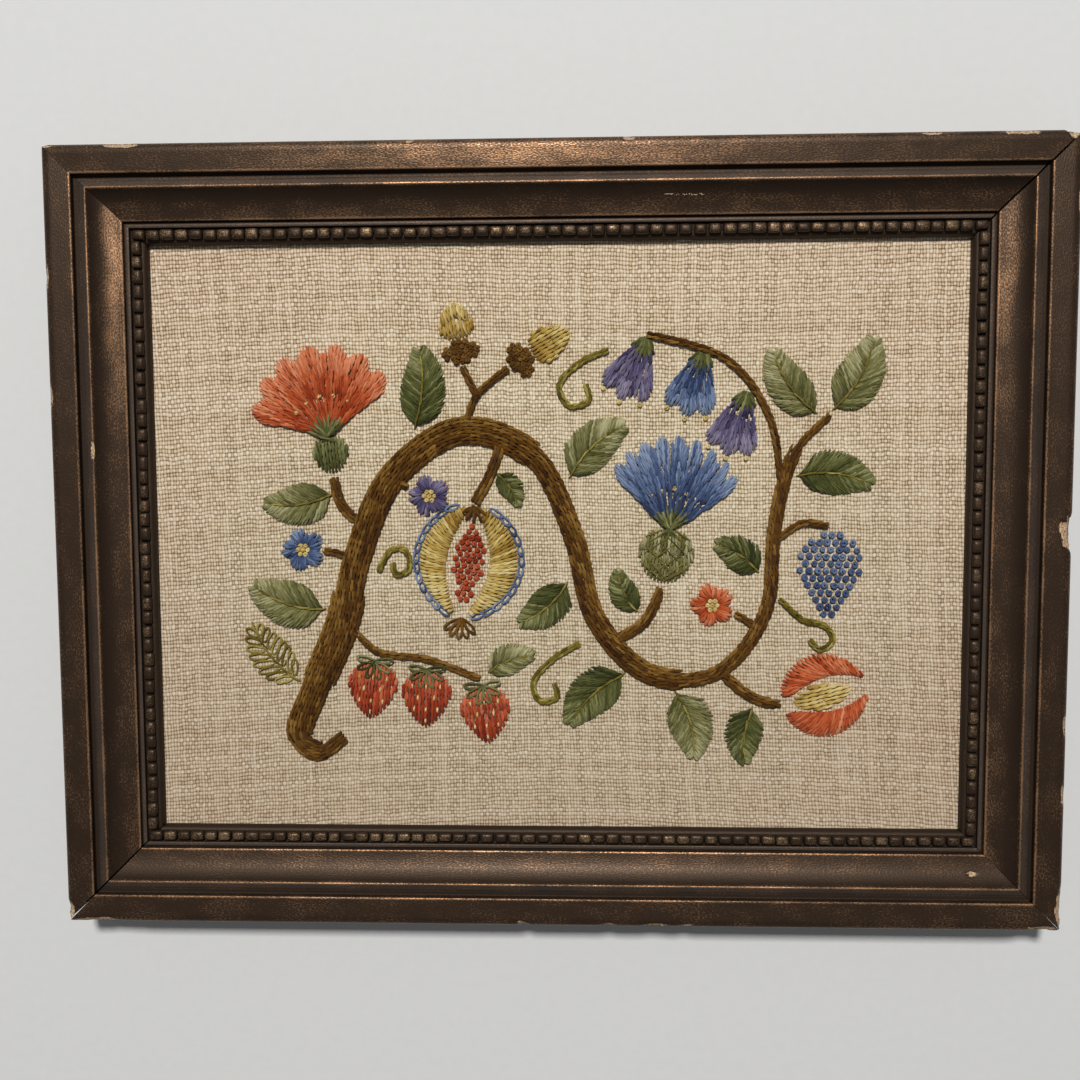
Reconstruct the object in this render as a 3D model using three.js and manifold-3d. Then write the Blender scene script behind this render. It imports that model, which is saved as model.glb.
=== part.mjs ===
// Framed crewel embroidery panel: linen with raised wool work, stretched over a board and held in a
// mitred, bronzed wooden frame with a row of beads beside its lip. It lies on its back, face up.
// Millimetres. X runs to the right of the picture, Y to its top and Z out of its face.
import * as THREE from 'three';
import { mergeVertices } from 'three/addons/utils/BufferGeometryUtils.js';
import Module from 'manifold-3d';

const wasm = await Module();
wasm.setup();

// Frame: outer size, the moulding's width, depth and rebate, and how far its outer corners are worn round.
const OUTER_WIDTH = 228.6;
const OUTER_HEIGHT = 177.8;
const RAIL_WIDTH = 21.4;
const FRAME_DEPTH = 16.4;
const REBATE_WIDTH = 8.7;
const MITRE_SETBACK = 0.25;
const CORNER_RADIUS = 1.8;
const CLEARANCE = 0.3;

// Members of the moulding, from its outer edge inwards: widths, and heights above the back.
const BAND_WIDTH = 6.6;
const BAND_SHOULDER = 14.6;
const BAND_ROUND = 2.0;
const BAND_ARRIS = 16.1;
const GROOVE_WIDTH = 1.3;
const GROOVE_FLOOR = 14.5;
const RIDGE_WIDTH = 1.65;
const RIDGE_STEP = 14.8;
const RIDGE_TOP = 15.4;
const COVE_WIDTH = 6.95;
const COVE_BELLY_SHARE = 0.24;
const COVE_BELLY = 12.8;
const COVE_FOOT = 12.0;
const QUIRK_WIDTH = 0.5;
const QUIRK_FLOOR = 11.1;
const FILLET_WIDTH = 0.95;
const FILLET_TOP = 12.0;
const BEAD_SEAT_WIDTH = 2.45;
const BEAD_SEAT = 10.9;
const LIP_TOP = 11.3;
const LIP_ROUND = 0.6;
const CURVE_STEPS = 4;

// Where those members start, worked out from their widths.
const RIDGE_START = BAND_WIDTH + GROOVE_WIDTH;
const COVE_START = RIDGE_START + RIDGE_WIDTH;
const QUIRK_START = COVE_START + COVE_WIDTH;
const FILLET_START = QUIRK_START + QUIRK_WIDTH;
const BEAD_START = FILLET_START + FILLET_WIDTH;
const LIP_START = BEAD_START + BEAD_SEAT_WIDTH;
const REBATE_START = RAIL_WIDTH - REBATE_WIDTH;

// Beads: distance from one to the next, half width, height, and how far the necks between them shrink.
const BEAD_PITCH = 3.25;
const BEAD_HALF_WIDTH = 1.1;
const BEAD_HEIGHT = 1.25;
const BEAD_CROWN = 0.6;
const NECK_WIDTH_SHARE = 0.6;
const NECK_HEIGHT_SHARE = 0.3;
const BEAD_SHOULDER_SHARE = 0.22;

// Linen and mount board, in the rebate behind the lip.
const LINEN_TOP = 8.4;
const LINEN_THICKNESS = 1.0;
const BOARD_THICKNESS = 3.0;
const REBATE_TOP = LINEN_TOP + CLEARANCE;
const PANEL_WIDTH = OUTER_WIDTH - 2 * (REBATE_START + CLEARANCE);
const PANEL_HEIGHT = OUTER_HEIGHT - 2 * (REBATE_START + CLEARANCE);

// Wool work: where it starts above the linen, how high it stands and how far its edge slopes in.
const WOOL_FLOOR = LINEN_TOP + CLEARANCE;
const WOOL_HEIGHT = 1.1;
const STEM_HEIGHT = 1.3;
const BRANCH_HEIGHT = 1.0;
const WOOL_SLOPE = 0.35;
const BLADE_STEPS = 10;
const TOOTH_STEPS = 4;
const PETAL_STEPS = 6;
const FAN_SHOULDER_DROP = 0.1;
const STEM_BELLY = 0.22;

const FINISHES = {
  bronzed: { color: 0x4a3322, roughness: 0.5, metalness: 0.35 },
  gilt: { color: 0x7a5a3a, roughness: 0.45, metalness: 0.5 },
  linen: { color: 0xcdb696, roughness: 0.95, metalness: 0 },
  board: { color: 0x9a7a55, roughness: 0.9, metalness: 0 },
  brown: { color: 0x5a3a14, roughness: 0.95, metalness: 0 },
  olive: { color: 0x6d6a1e, roughness: 0.95, metalness: 0 },
  sage: { color: 0x6f7f5c, roughness: 0.95, metalness: 0 },
  green: { color: 0x3f4f30, roughness: 0.95, metalness: 0 },
  coral: { color: 0xc9603f, roughness: 0.95, metalness: 0 },
  rust: { color: 0xb03a1c, roughness: 0.95, metalness: 0 },
  gold: { color: 0xc9ad5c, roughness: 0.95, metalness: 0 },
  blue: { color: 0x46618f, roughness: 0.95, metalness: 0 },
  lavender: { color: 0x6e6480, roughness: 0.95, metalness: 0 },
};

// Turns rows of values into objects with named columns.
function table(columns, rows) {
  return rows.map((row) => Object.fromEntries(columns.map((column, i) => [column, row[i]])));
}

// Rails: length along the rail, turn about Z, and the middle of its outer edge.
const RAILS = table(['side', 'run', 'turn', 'x', 'y'], [
  ['bottom', OUTER_WIDTH, 0, 0, -OUTER_HEIGHT / 2],
  ['right', OUTER_HEIGHT, 90, OUTER_WIDTH / 2, 0],
  ['top', OUTER_WIDTH, 180, 0, OUTER_HEIGHT / 2],
  ['left', OUTER_HEIGHT, -90, -OUTER_WIDTH / 2, 0],
]);

// The scrolling stem: the points that its line passes through, from its curled root to its tip.
const STEM_ROUTE = [
  [-50, -46.5], [-55.5, -50], [-60.5, -46], [-57, -36], [-50, -20], [-46, -4], [-38, 14], [-22, 25],
  [-5, 19], [4, 1], [9, -18], [21, -31], [37, -31], [48, -17], [50, 3], [54, 19], [62, 28],
];

// The stem and its branches, worked in one yarn: width at the root, at the belly and at the tip.
const STEM_COLUMNS = ['name', 'root', 'belly', 'tip', 'steps', 'height', 'route'];
const STEMS = table(STEM_COLUMNS, [
  ['main stem', 3, 7.8, 2.2, 64, STEM_HEIGHT, STEM_ROUTE],
  ['to the carnation', 2.4, 2.4, 1.8, 8, BRANCH_HEIGHT, [[-43.5, 2], [-49.5, 8], [-51.2, 14.2]]],
  ['to the split fruit', 2.4, 2.4, 1.8, 8, BRANCH_HEIGHT, [[-12, 23.5], [-15, 15], [-18.5, 8.6]]],
  ['to the thistle', 2.4, 2.4, 1.8, 8, BRANCH_HEIGHT, [[12, -24], [20, -19.5], [24.2, -11.6]]],
  ['to the tulip', 2.4, 2.4, 1.8, 8, BRANCH_HEIGHT, [[38, -31], [45, -36.5], [51.6, -38.6]]],
  ['over the bells', 2, 2, 1.2, 14, BRANCH_HEIGHT, [[51.5, 11], [48.5, 28], [38.5, 41], [21, 46.5]]],
  ['over the berries', 2, 2, 1.2, 14, BRANCH_HEIGHT, [[-49, -18], [-42, -26], [-30, -28], [-18, -32.5]]],
  ['to one acorn', 2, 2, 1.3, 8, BRANCH_HEIGHT, [[-21, 25], [-18, 33], [-11, 39]]],
  ['to the other acorn', 1.4, 1.4, 1.2, 6, BRANCH_HEIGHT, [[-18, 33], [-20, 37], [-21, 39.5]]],
  ['to the grapes', 2, 2, 1.3, 8, BRANCH_HEIGHT, [[49.5, -1], [56, 3.5], [62, 3]]],
  ['to the blue posy', 1.6, 1.6, 1.2, 6, BRANCH_HEIGHT, [[-46, -6], [-50, -3.4], [-53.6, -2.6]]],
  ['to the coral posy', 1.6, 1.6, 1.2, 6, BRANCH_HEIGHT, [[46, -20.5], [43.5, -18.6], [41.4, -17.4]]],
  ['to the lavender posy', 1.6, 1.6, 1.2, 6, BRANCH_HEIGHT, [[-38, 14], [-36.2, 13.2], [-34.4, 12.2]]],
]);

// Curled tendrils, thin and nearly even in width.
const CURL_A = [[-41.2, -7.4], [-38.4, -2.6], [-34.8, -2.6], [-34, -6.8], [-37.2, -8.2], [-37.8, -5.6]];
const CURL_B = [[5.3, -24.3], [-0.6, -27.8], [-5.2, -33], [-4, -37.6], [0, -37], [-0.4, -33.8]];
const CURL_C = [[51.5, -14], [56.5, -18.6], [61.5, -20], [63.6, -23.4], [60.6, -25.6], [58.4, -23.4]];
const CURL_D = [[12, 43], [6, 40.5], [1, 35.5], [3, 30.6], [7.5, 31.6], [7, 35.2]];
const TENDRILS = table(STEM_COLUMNS, [
  ['tendril_a', 1.3, 1.3, 1.0, 22, BRANCH_HEIGHT, CURL_A],
  ['tendril_b', 1.3, 1.3, 1.0, 22, BRANCH_HEIGHT, CURL_B],
  ['tendril_c', 1.3, 1.3, 1.0, 22, BRANCH_HEIGHT, CURL_C],
  ['tendril_d', 1.3, 1.3, 1.0, 22, BRANCH_HEIGHT, CURL_D],
]);

// Fan-shaped flower heads: base point, heading, spread, radius, width of the base, and the edge's teeth.
const FANS = table(['name', 'yarn', 'x', 'y', 'heading', 'spread', 'radius', 'base', 'teeth', 'cut'], [
  ['carnation', 'coral', -52.4, 25.2, 104, 140, 20, 5, 7, 0.13],
  ['thistle', 'blue', 26.3, 3.6, 84, 112, 20, 6, 9, 0.12],
  ['bell_a', 'lavender', 43.3, 32.6, 252, 62, 14.5, 3, 3, 0.14],
  ['bell_b', 'blue', 33.5, 41.8, 254, 62, 14.5, 3, 3, 0.14],
  ['bell_c', 'lavender', 20.6, 44.9, 246, 62, 14.5, 3, 3, 0.14],
]);

// Posies: small round flowers with scalloped petals.
const POSIES = table(['name', 'yarn', 'x', 'y', 'radius', 'petals', 'cut'], [
  ['posy_a', 'blue', -58.8, -2.4, 5.2, 5, 0.3],
  ['posy_b', 'coral', 36, -15.4, 5.2, 5, 0.3],
  ['posy_c', 'lavender', -29.2, 10, 5, 5, 0.3],
]);

// How bluntly a shape's two ends round off: 0.5 is a half circle, less is squarer and more is sharper.
const ENDS = {
  leaf: { near: 0.6, far: 0.9 },
  petal: { near: 0.6, far: 0.8 },
  husk: { near: 0.6, far: 0.7 },
  seed: { near: 0.5, far: 0.6 },
  berry: { near: 0.42, far: 0.75 },
  nut: { near: 0.3, far: 0.6 },
  cup: { near: 0.4, far: 0.25 },
  calyx: { near: 0.5, far: 0.4 },
};

// Two-sided shapes about an axis: base point, heading, size, and the axis's bow as a share of its length.
const BLADES = table(['name', 'yarn', 'ends', 'x', 'y', 'heading', 'length', 'width', 'bow'], [
  ['carnation_calyx', 'green', ENDS.calyx, -51.4, 15.2, 96, 9.2, 8, 0],
  ['thistle_calyx', 'sage', ENDS.calyx, 24.6, -10.4, 84, 13, 12.4, 0],
  ['fruit_seeds', 'rust', ENDS.seed, -19, 3.6, 262, 18.5, 7.2, 0],
  ['fruit_husk_a', 'gold', ENDS.husk, -17.2, 7, 262, 25, 7, 0.28],
  ['fruit_husk_b', 'gold', ENDS.husk, -20.4, 7.4, 262, 25, 6.6, -0.26],
  ['tulip_heart', 'gold', ENDS.seed, 54.8, -38.1, 14, 14, 5.6, 0],
  ['tulip_petal_a', 'coral', ENDS.petal, 52.2, -36.5, 14, 19, 6, 0.25],
  ['tulip_petal_b', 'coral', ENDS.petal, 53.2, -40.6, 14, 19, 6, -0.25],
  ['strawberry_a', 'rust', ENDS.berry, -42.4, -28.8, 264, 13.6, 11.2, 0],
  ['strawberry_b', 'rust', ENDS.berry, -30.2, -30.8, 268, 13.6, 11.2, 0],
  ['strawberry_c', 'rust', ENDS.berry, -17.2, -34.6, 276, 13.6, 11.2, 0],
  ['acorn_cup_a', 'brown', ENDS.cup, -10.3, 39.8, 30, 5, 8.4, 0],
  ['acorn_nut_a', 'gold', ENDS.nut, -5.4, 42.6, 30, 10, 7.6, 0],
  ['acorn_cup_b', 'brown', ENDS.cup, -21.1, 40.3, 100, 5, 8.4, 0],
  ['acorn_nut_b', 'gold', ENDS.nut, -22.1, 45.8, 100, 8.5, 7.6, 0],
  ['grapes', 'blue', ENDS.berry, 63, 1.6, 268, 20, 14.5, 0],
  ['leaf_a', 'sage', ENDS.leaf, -54.6, -16.4, 158, 19, 11, 0.1],
  ['leaf_b', 'green', ENDS.leaf, -32.2, 26.2, 88, 19.5, 10.4, -0.08],
  ['leaf_c', 'sage', ENDS.leaf, 3.4, 14.8, 40, 18.5, 10.4, 0.1],
  ['leaf_d', 'green', ENDS.leaf, 2.4, -10.6, 217, 15.5, 9, 0.1],
  ['leaf_e', 'green', ENDS.leaf, 46.2, -7.4, 150, 12.5, 8, -0.1],
  ['leaf_f', 'sage', ENDS.leaf, 28, -36, 282, 17, 10.4, 0.1],
  ['leaf_g', 'green', ENDS.leaf, 15.2, -31.6, 226, 18.5, 10.6, -0.1],
  ['leaf_h', 'green', ENDS.leaf, 55.6, 14.6, 350, 18, 10.4, 0.1],
  ['leaf_i', 'sage', ENDS.leaf, 63.4, 29.8, 64, 19.5, 10.8, -0.1],
  ['leaf_j', 'sage', ENDS.leaf, 58.6, 28.8, 122, 18.5, 9.6, 0.1],
  ['leaf_k', 'sage', ENDS.leaf, -52.2, 10.2, 184, 17, 9.6, 0.1],
  ['leaf_l', 'green', ENDS.leaf, 45.2, -39.6, 266, 14, 8.8, -0.1],
  ['leaf_m', 'sage', ENDS.leaf, -15.6, -30.8, 18, 12, 7.2, 0.1],
  ['leaf_n', 'green', ENDS.leaf, 18.4, -16.6, 112, 11, 6.6, 0.1],
  ['leaf_p', 'green', ENDS.leaf, -13.2, 15, 300, 9.4, 5.6, 0.1],
  ['fern', 'olive', ENDS.leaf, -60.6, -33, 128, 17, 9.6, 0.08],
]);

function finished(name, geometry, finish) {
  const mesh = new THREE.Mesh(geometry, new THREE.MeshStandardMaterial(FINISHES[finish]));
  mesh.name = name;
  return mesh;
}

function closedGeometry(positions, indices) {
  const geometry = new THREE.BufferGeometry();
  geometry.setAttribute('position', new THREE.Float32BufferAttribute(positions, 3));
  geometry.setIndex(indices);
  geometry.computeVertexNormals();
  return geometry;
}

function solidOf(geometry) {
  const bare = geometry.clone();
  bare.deleteAttribute('normal');
  bare.deleteAttribute('uv');
  const merged = mergeVertices(bare);
  const vertProperties = new Float32Array(merged.attributes.position.array);
  const triVerts = new Uint32Array(merged.index.array);
  return new wasm.Manifold(new wasm.Mesh({ numProp: 3, vertProperties, triVerts }));
}

function geometryOf(solid) {
  const mesh = solid.getMesh();
  return closedGeometry(Array.from(mesh.vertProperties), Array.from(mesh.triVerts));
}

// Cross-section of the moulding: x is the distance in from the outer edge, y the height above the back.
function mouldingSection() {
  const section = new THREE.Shape();
  const coveBelly = COVE_START + COVE_BELLY_SHARE * COVE_WIDTH;
  section.moveTo(0, 0);
  section.lineTo(0, BAND_SHOULDER);
  section.quadraticCurveTo(0, FRAME_DEPTH, BAND_ROUND, FRAME_DEPTH);
  section.lineTo(BAND_WIDTH, BAND_ARRIS);
  section.lineTo(BAND_WIDTH, GROOVE_FLOOR);
  section.lineTo(RIDGE_START, GROOVE_FLOOR);
  section.lineTo(RIDGE_START, RIDGE_STEP);
  section.lineTo(COVE_START, RIDGE_TOP);
  section.quadraticCurveTo(coveBelly, COVE_BELLY, QUIRK_START, COVE_FOOT);
  section.lineTo(QUIRK_START, QUIRK_FLOOR);
  section.lineTo(FILLET_START, QUIRK_FLOOR);
  section.lineTo(FILLET_START, FILLET_TOP);
  section.lineTo(BEAD_START, FILLET_TOP);
  section.lineTo(BEAD_START, BEAD_SEAT);
  section.lineTo(LIP_START, BEAD_SEAT);
  section.lineTo(LIP_START, LIP_TOP);
  section.lineTo(RAIL_WIDTH - LIP_ROUND, LIP_TOP);
  section.quadraticCurveTo(RAIL_WIDTH, LIP_TOP, RAIL_WIDTH, LIP_TOP - LIP_ROUND);
  section.lineTo(RAIL_WIDTH, REBATE_TOP);
  section.lineTo(REBATE_START, REBATE_TOP);
  section.lineTo(REBATE_START, 0);
  section.closePath();
  return section;
}

// A rail is the section carried along its run, with both ends drawn back by the distance in: a mitre.
function mitredRail(run) {
  const options = { depth: 1, steps: 1, bevelEnabled: false, curveSegments: CURVE_STEPS };
  const geometry = new THREE.ExtrudeGeometry(mouldingSection(), options);
  const points = geometry.attributes.position;
  for (let i = 0; i < points.count; i += 1) {
    const inward = points.getX(i);
    const height = points.getY(i);
    const end = 2 * points.getZ(i) - 1;
    points.setXYZ(i, end * (run / 2 - inward - MITRE_SETBACK), inward, height);
  }
  return geometryOf(solidOf(geometry).intersect(solidOf(cornerPlate(run))));
}

// A plate as long as the rail, with its two outer corners rounded: what the wear leaves of the rail's ends.
function cornerPlate(run) {
  const half = run / 2;
  const plate = new THREE.Shape();
  plate.moveTo(-half + CORNER_RADIUS, 0);
  plate.lineTo(half - CORNER_RADIUS, 0);
  plate.quadraticCurveTo(half, 0, half, CORNER_RADIUS);
  plate.lineTo(half, RAIL_WIDTH + CLEARANCE);
  plate.lineTo(-half, RAIL_WIDTH + CLEARANCE);
  plate.lineTo(-half, CORNER_RADIUS);
  plate.quadraticCurveTo(-half, 0, -half + CORNER_RADIUS, 0);
  const depth = FRAME_DEPTH + 2 * CLEARANCE;
  const options = { depth, steps: 1, bevelEnabled: false, curveSegments: CURVE_STEPS };
  return new THREE.ExtrudeGeometry(plate, options).translate(0, 0, -CLEARANCE);
}

// A row of pillow-shaped beads: a low four-cornered section that swells at beads and shrinks at necks.
function beadStrip(length) {
  const beads = Math.round(length / BEAD_PITCH);
  const pitch = length / beads;
  const middle = (BEAD_START + LIP_START) / 2;
  const floor = BEAD_SEAT + CLEARANCE;
  const positions = [];
  const indices = [];
  const corners = 4;
  const addStation = (along, widthShare, heightShare) => {
    const half = BEAD_HALF_WIDTH * widthShare;
    const top = floor + BEAD_HEIGHT * heightShare;
    positions.push(along, middle - half, floor);
    positions.push(along, middle - half * BEAD_CROWN, top);
    positions.push(along, middle + half * BEAD_CROWN, top);
    positions.push(along, middle + half, floor);
  };
  for (let bead = 0; bead < beads; bead += 1) {
    const centre = (bead + 0.5) * pitch - length / 2;
    addStation(centre - pitch / 2, NECK_WIDTH_SHARE, NECK_HEIGHT_SHARE);
    addStation(centre - pitch * BEAD_SHOULDER_SHARE, 1, 1);
    addStation(centre + pitch * BEAD_SHOULDER_SHARE, 1, 1);
  }
  addStation(length / 2, NECK_WIDTH_SHARE, NECK_HEIGHT_SHARE);
  const last = positions.length / 3 - corners;
  for (let start = 0; start < last; start += corners) {
    for (let corner = 0; corner < corners; corner += 1) {
      const a = start + corner;
      const b = start + ((corner + 1) % corners);
      indices.push(a, a + corners, b, b, a + corners, b + corners);
    }
  }
  indices.push(0, 1, 2, 0, 2, 3);
  indices.push(last, last + 2, last + 1, last, last + 3, last + 2);
  return closedGeometry(positions, indices);
}

// A flat bed of stitches: the outline on the linen, and the same outline drawn in a little at its top.
function woolBed(outline, height) {
  const loop = THREE.ShapeUtils.area(outline) < 0 ? outline.slice().reverse() : outline;
  const count = loop.length;
  const positions = [];
  const indices = [];
  loop.forEach((point) => positions.push(point.x, point.y, WOOL_FLOOR));
  loop.forEach((point, i) => {
    const along = loop[(i + 1) % count].clone().sub(loop[(i + count - 1) % count]).normalize();
    const x = point.x - along.y * WOOL_SLOPE;
    const y = point.y + along.x * WOOL_SLOPE;
    positions.push(x, y, WOOL_FLOOR + height);
  });
  THREE.ShapeUtils.triangulateShape(loop, []).forEach(([a, b, c]) => {
    indices.push(a, c, b, a + count, b + count, c + count);
  });
  for (let i = 0; i < count; i += 1) {
    const next = (i + 1) % count;
    indices.push(i, next, next + count, i, next + count, i + count);
  }
  return closedGeometry(positions, indices);
}

function placed(points, row) {
  const pivot = new THREE.Vector2(0, 0);
  const origin = new THREE.Vector2(row.x, row.y);
  return points.map((point) => point.rotateAround(pivot, THREE.MathUtils.degToRad(row.heading)).add(origin));
}

// Leaf, petal, husk or fruit: half width t^near (1-t)^far on either side of an axis that bows sideways.
function bladeOutline(row) {
  const { near, far } = row.ends;
  const widest = near / (near + far);
  const peak = widest ** near * (1 - widest) ** far;
  const side = (sign) => {
    const points = [];
    for (let i = 0; i <= BLADE_STEPS; i += 1) {
      const t = i / BLADE_STEPS;
      const half = (sign * row.width * t ** near * (1 - t) ** far) / peak / 2;
      const slope = row.bow * 4 * (1 - 2 * t);
      const across = new THREE.Vector2(-slope, 1).normalize().multiplyScalar(half);
      points.push(new THREE.Vector2(t * row.length, row.bow * row.length * 4 * t * (1 - t)).add(across));
    }
    return points;
  };
  const right = side(-1).slice(1, -1).reverse();
  return placed([...side(1), ...right], row);
}

// Flower head: a sector with a scalloped edge, a little shorter towards its two sides.
function fanOutline(row) {
  const steps = row.teeth * TOOTH_STEPS;
  const points = [new THREE.Vector2(0, -row.base / 2)];
  for (let i = 0; i <= steps; i += 1) {
    const swing = (2 * i) / steps - 1;
    const scallop = 1 - row.cut * (1 - Math.abs(Math.sin((Math.PI * i) / TOOTH_STEPS)));
    const radius = row.radius * scallop * (1 - FAN_SHOULDER_DROP * swing * swing);
    const angle = THREE.MathUtils.degToRad((swing * row.spread) / 2);
    points.push(new THREE.Vector2(radius * Math.cos(angle), radius * Math.sin(angle)));
  }
  points.push(new THREE.Vector2(0, row.base / 2));
  return placed(points, row);
}

// Posy: a circle whose edge is drawn in between the petals.
function posyOutline(row) {
  const steps = row.petals * PETAL_STEPS;
  return Array.from({ length: steps }, (_, i) => {
    const angle = (2 * Math.PI * i) / steps;
    const radius = row.radius * (1 - row.cut * (1 - Math.abs(Math.sin((row.petals * angle) / 2))));
    return new THREE.Vector2(row.x + radius * Math.cos(angle), row.y + radius * Math.sin(angle));
  });
}

// Stem or tendril: a band about a smooth line, widest a little way up from its root.
function stemOutline(row) {
  const line = new THREE.SplineCurve(row.route.map(([x, y]) => new THREE.Vector2(x, y)));
  const left = [];
  const right = [];
  for (let i = 0; i <= row.steps; i += 1) {
    const t = i / row.steps;
    const rise = THREE.MathUtils.lerp(row.root, row.belly, t / STEM_BELLY);
    const fall = THREE.MathUtils.lerp(row.belly, row.tip, (t - STEM_BELLY) / (1 - STEM_BELLY));
    const half = (t < STEM_BELLY ? rise : fall) / 2;
    const along = line.getTangent(t);
    const across = new THREE.Vector2(-along.y, along.x).multiplyScalar(half);
    const point = line.getPoint(t);
    left.push(point.clone().add(across));
    right.push(point.clone().sub(across));
  }
  return [...left, ...right.reverse()];
}

// The stem and its branches grow out of one another, so they are one body.
function joinedStems() {
  const beds = STEMS.map((row) => solidOf(woolBed(stemOutline(row), row.height)));
  return geometryOf(beds.reduce((whole, branch) => whole.add(branch)));
}

function panel(name, thickness, top, finish) {
  const mesh = finished(name, new THREE.BoxGeometry(PANEL_WIDTH, PANEL_HEIGHT, thickness), finish);
  mesh.position.z = top - thickness / 2;
  return mesh;
}

const framedPanel = new THREE.Group();

RAILS.forEach((rail) => {
  const long = rail.run === OUTER_WIDTH;
  const beadEnd = (long ? BEAD_START : LIP_START) + CLEARANCE;
  const side = new THREE.Group();
  side.add(finished(`rail_${rail.side}`, mitredRail(rail.run), 'bronzed'));
  side.add(finished(`beads_${rail.side}`, beadStrip(rail.run - 2 * beadEnd), 'gilt'));
  side.position.set(rail.x, rail.y, 0);
  side.rotation.z = THREE.MathUtils.degToRad(rail.turn);
  framedPanel.add(side);
});

framedPanel.add(panel('linen_panel', LINEN_THICKNESS, LINEN_TOP, 'linen'));
framedPanel.add(panel('mount_board', BOARD_THICKNESS, LINEN_TOP - LINEN_THICKNESS - CLEARANCE, 'board'));

const woolWork = new THREE.Group();
woolWork.add(finished('vine', joinedStems(), 'brown'));
TENDRILS.forEach((row) => woolWork.add(finished(row.name, woolBed(stemOutline(row), row.height), 'olive')));
FANS.forEach((row) => woolWork.add(finished(row.name, woolBed(fanOutline(row), WOOL_HEIGHT), row.yarn)));
POSIES.forEach((row) => woolWork.add(finished(row.name, woolBed(posyOutline(row), WOOL_HEIGHT), row.yarn)));
BLADES.forEach((row) => woolWork.add(finished(row.name, woolBed(bladeOutline(row), WOOL_HEIGHT), row.yarn)));
framedPanel.add(woolWork);

export default framedPanel;
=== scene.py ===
# %% [markdown]
# # A framed crewel panel
# A small embroidered picture: linen stretched over a board, wool stitches that stand proud of the
# cloth, and a bronzed wooden frame with a row of beads beside its lip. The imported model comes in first,
# because its nodes give every size and place. Arrays of points, worked out with numpy, then take the
# place of its plain solids.

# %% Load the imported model
from collections import namedtuple

import bpy
import numpy as np
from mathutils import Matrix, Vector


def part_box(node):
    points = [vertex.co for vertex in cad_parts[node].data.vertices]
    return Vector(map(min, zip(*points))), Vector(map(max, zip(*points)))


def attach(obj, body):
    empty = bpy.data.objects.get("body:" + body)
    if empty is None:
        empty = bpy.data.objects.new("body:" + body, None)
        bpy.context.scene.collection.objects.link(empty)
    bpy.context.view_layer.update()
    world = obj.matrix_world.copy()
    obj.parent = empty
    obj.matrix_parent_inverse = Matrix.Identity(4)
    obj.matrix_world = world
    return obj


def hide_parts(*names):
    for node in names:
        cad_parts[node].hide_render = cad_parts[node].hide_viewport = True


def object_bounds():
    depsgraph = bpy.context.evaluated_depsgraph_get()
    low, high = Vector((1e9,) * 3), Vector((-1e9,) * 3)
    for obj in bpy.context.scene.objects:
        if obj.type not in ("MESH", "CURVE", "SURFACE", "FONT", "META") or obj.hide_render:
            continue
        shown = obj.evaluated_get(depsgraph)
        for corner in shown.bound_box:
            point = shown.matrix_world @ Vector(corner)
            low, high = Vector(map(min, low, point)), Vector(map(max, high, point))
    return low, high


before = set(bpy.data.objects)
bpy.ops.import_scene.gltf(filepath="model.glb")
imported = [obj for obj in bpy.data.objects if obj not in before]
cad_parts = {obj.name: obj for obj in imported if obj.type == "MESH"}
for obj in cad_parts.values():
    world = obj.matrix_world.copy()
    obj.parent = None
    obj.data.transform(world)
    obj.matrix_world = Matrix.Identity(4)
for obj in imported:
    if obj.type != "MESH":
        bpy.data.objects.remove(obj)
cad_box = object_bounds()
MM = 0.001


def box_mm(node):
    """A node's lowest and highest corner, in millimetres."""
    low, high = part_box(node)
    return np.array(low) / MM, np.array(high) / MM


OUTER_LOW, OUTER_HIGH = (np.array(corner) / MM for corner in cad_box)
OUTER_WIDTH, OUTER_HEIGHT, FRAME_DEPTH = OUTER_HIGH - OUTER_LOW
print("outer size in mm:", OUTER_WIDTH.round(1), OUTER_HEIGHT.round(1), FRAME_DEPTH.round(1))

# %% [markdown]
# The panel lies on its back and the camera hangs about 28 cm over it, a little above the middle and to
# the right, so the far edge comes out slightly wider than the near one. That close, the lens is a wide
# one, and the inner wall of all four rails shows.

# %% Camera
CAMERA_PLACE = (7.13, 21.28, 284.27)
CAMERA_TURN = (-4.463, 2.223, -0.275)
CAMERA_LENS = 40.0
SENSOR_WIDTH = 36.0

scene = bpy.context.scene
camera_data = bpy.data.cameras.new("camera")
camera_data.sensor_width = SENSOR_WIDTH
camera_data.lens = CAMERA_LENS
camera_data.clip_start = 0.01
camera = bpy.data.objects.new("camera", camera_data)
camera.location = np.array(CAMERA_PLACE) * MM
camera.rotation_euler = np.radians(CAMERA_TURN)
scene.collection.objects.link(camera)
scene.camera = camera
scene.view_settings.view_transform = "Standard"
print("camera", CAMERA_PLACE, "lens", CAMERA_LENS)

# %% [markdown]
# Every piece below ends in the same call. It takes points in millimetres, the corner numbers of all
# faces in one row and the number of corners of each face, and fills a mesh with whole arrays. Values
# that a material needs later, such as how worn a place is, go in as named marks on the points.

# %% Arrays into a mesh
Faces = namedtuple("Faces", "corners sizes")
NOISE_CELLS = 64


def grid_quads(rows, columns, closed):
    """Corner numbers of a grid's quads, where point = row * columns + column; closed joins the two sides."""
    row = np.arange(rows - 1)[:, None] * columns
    column = np.arange(columns if closed else columns - 1)[None, :]
    after = (column + 1) % columns
    quads = (row + column, row + columns + column, row + columns + after, row + after)
    return np.stack(np.broadcast_arrays(*quads), -1).reshape(-1, 4)


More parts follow.
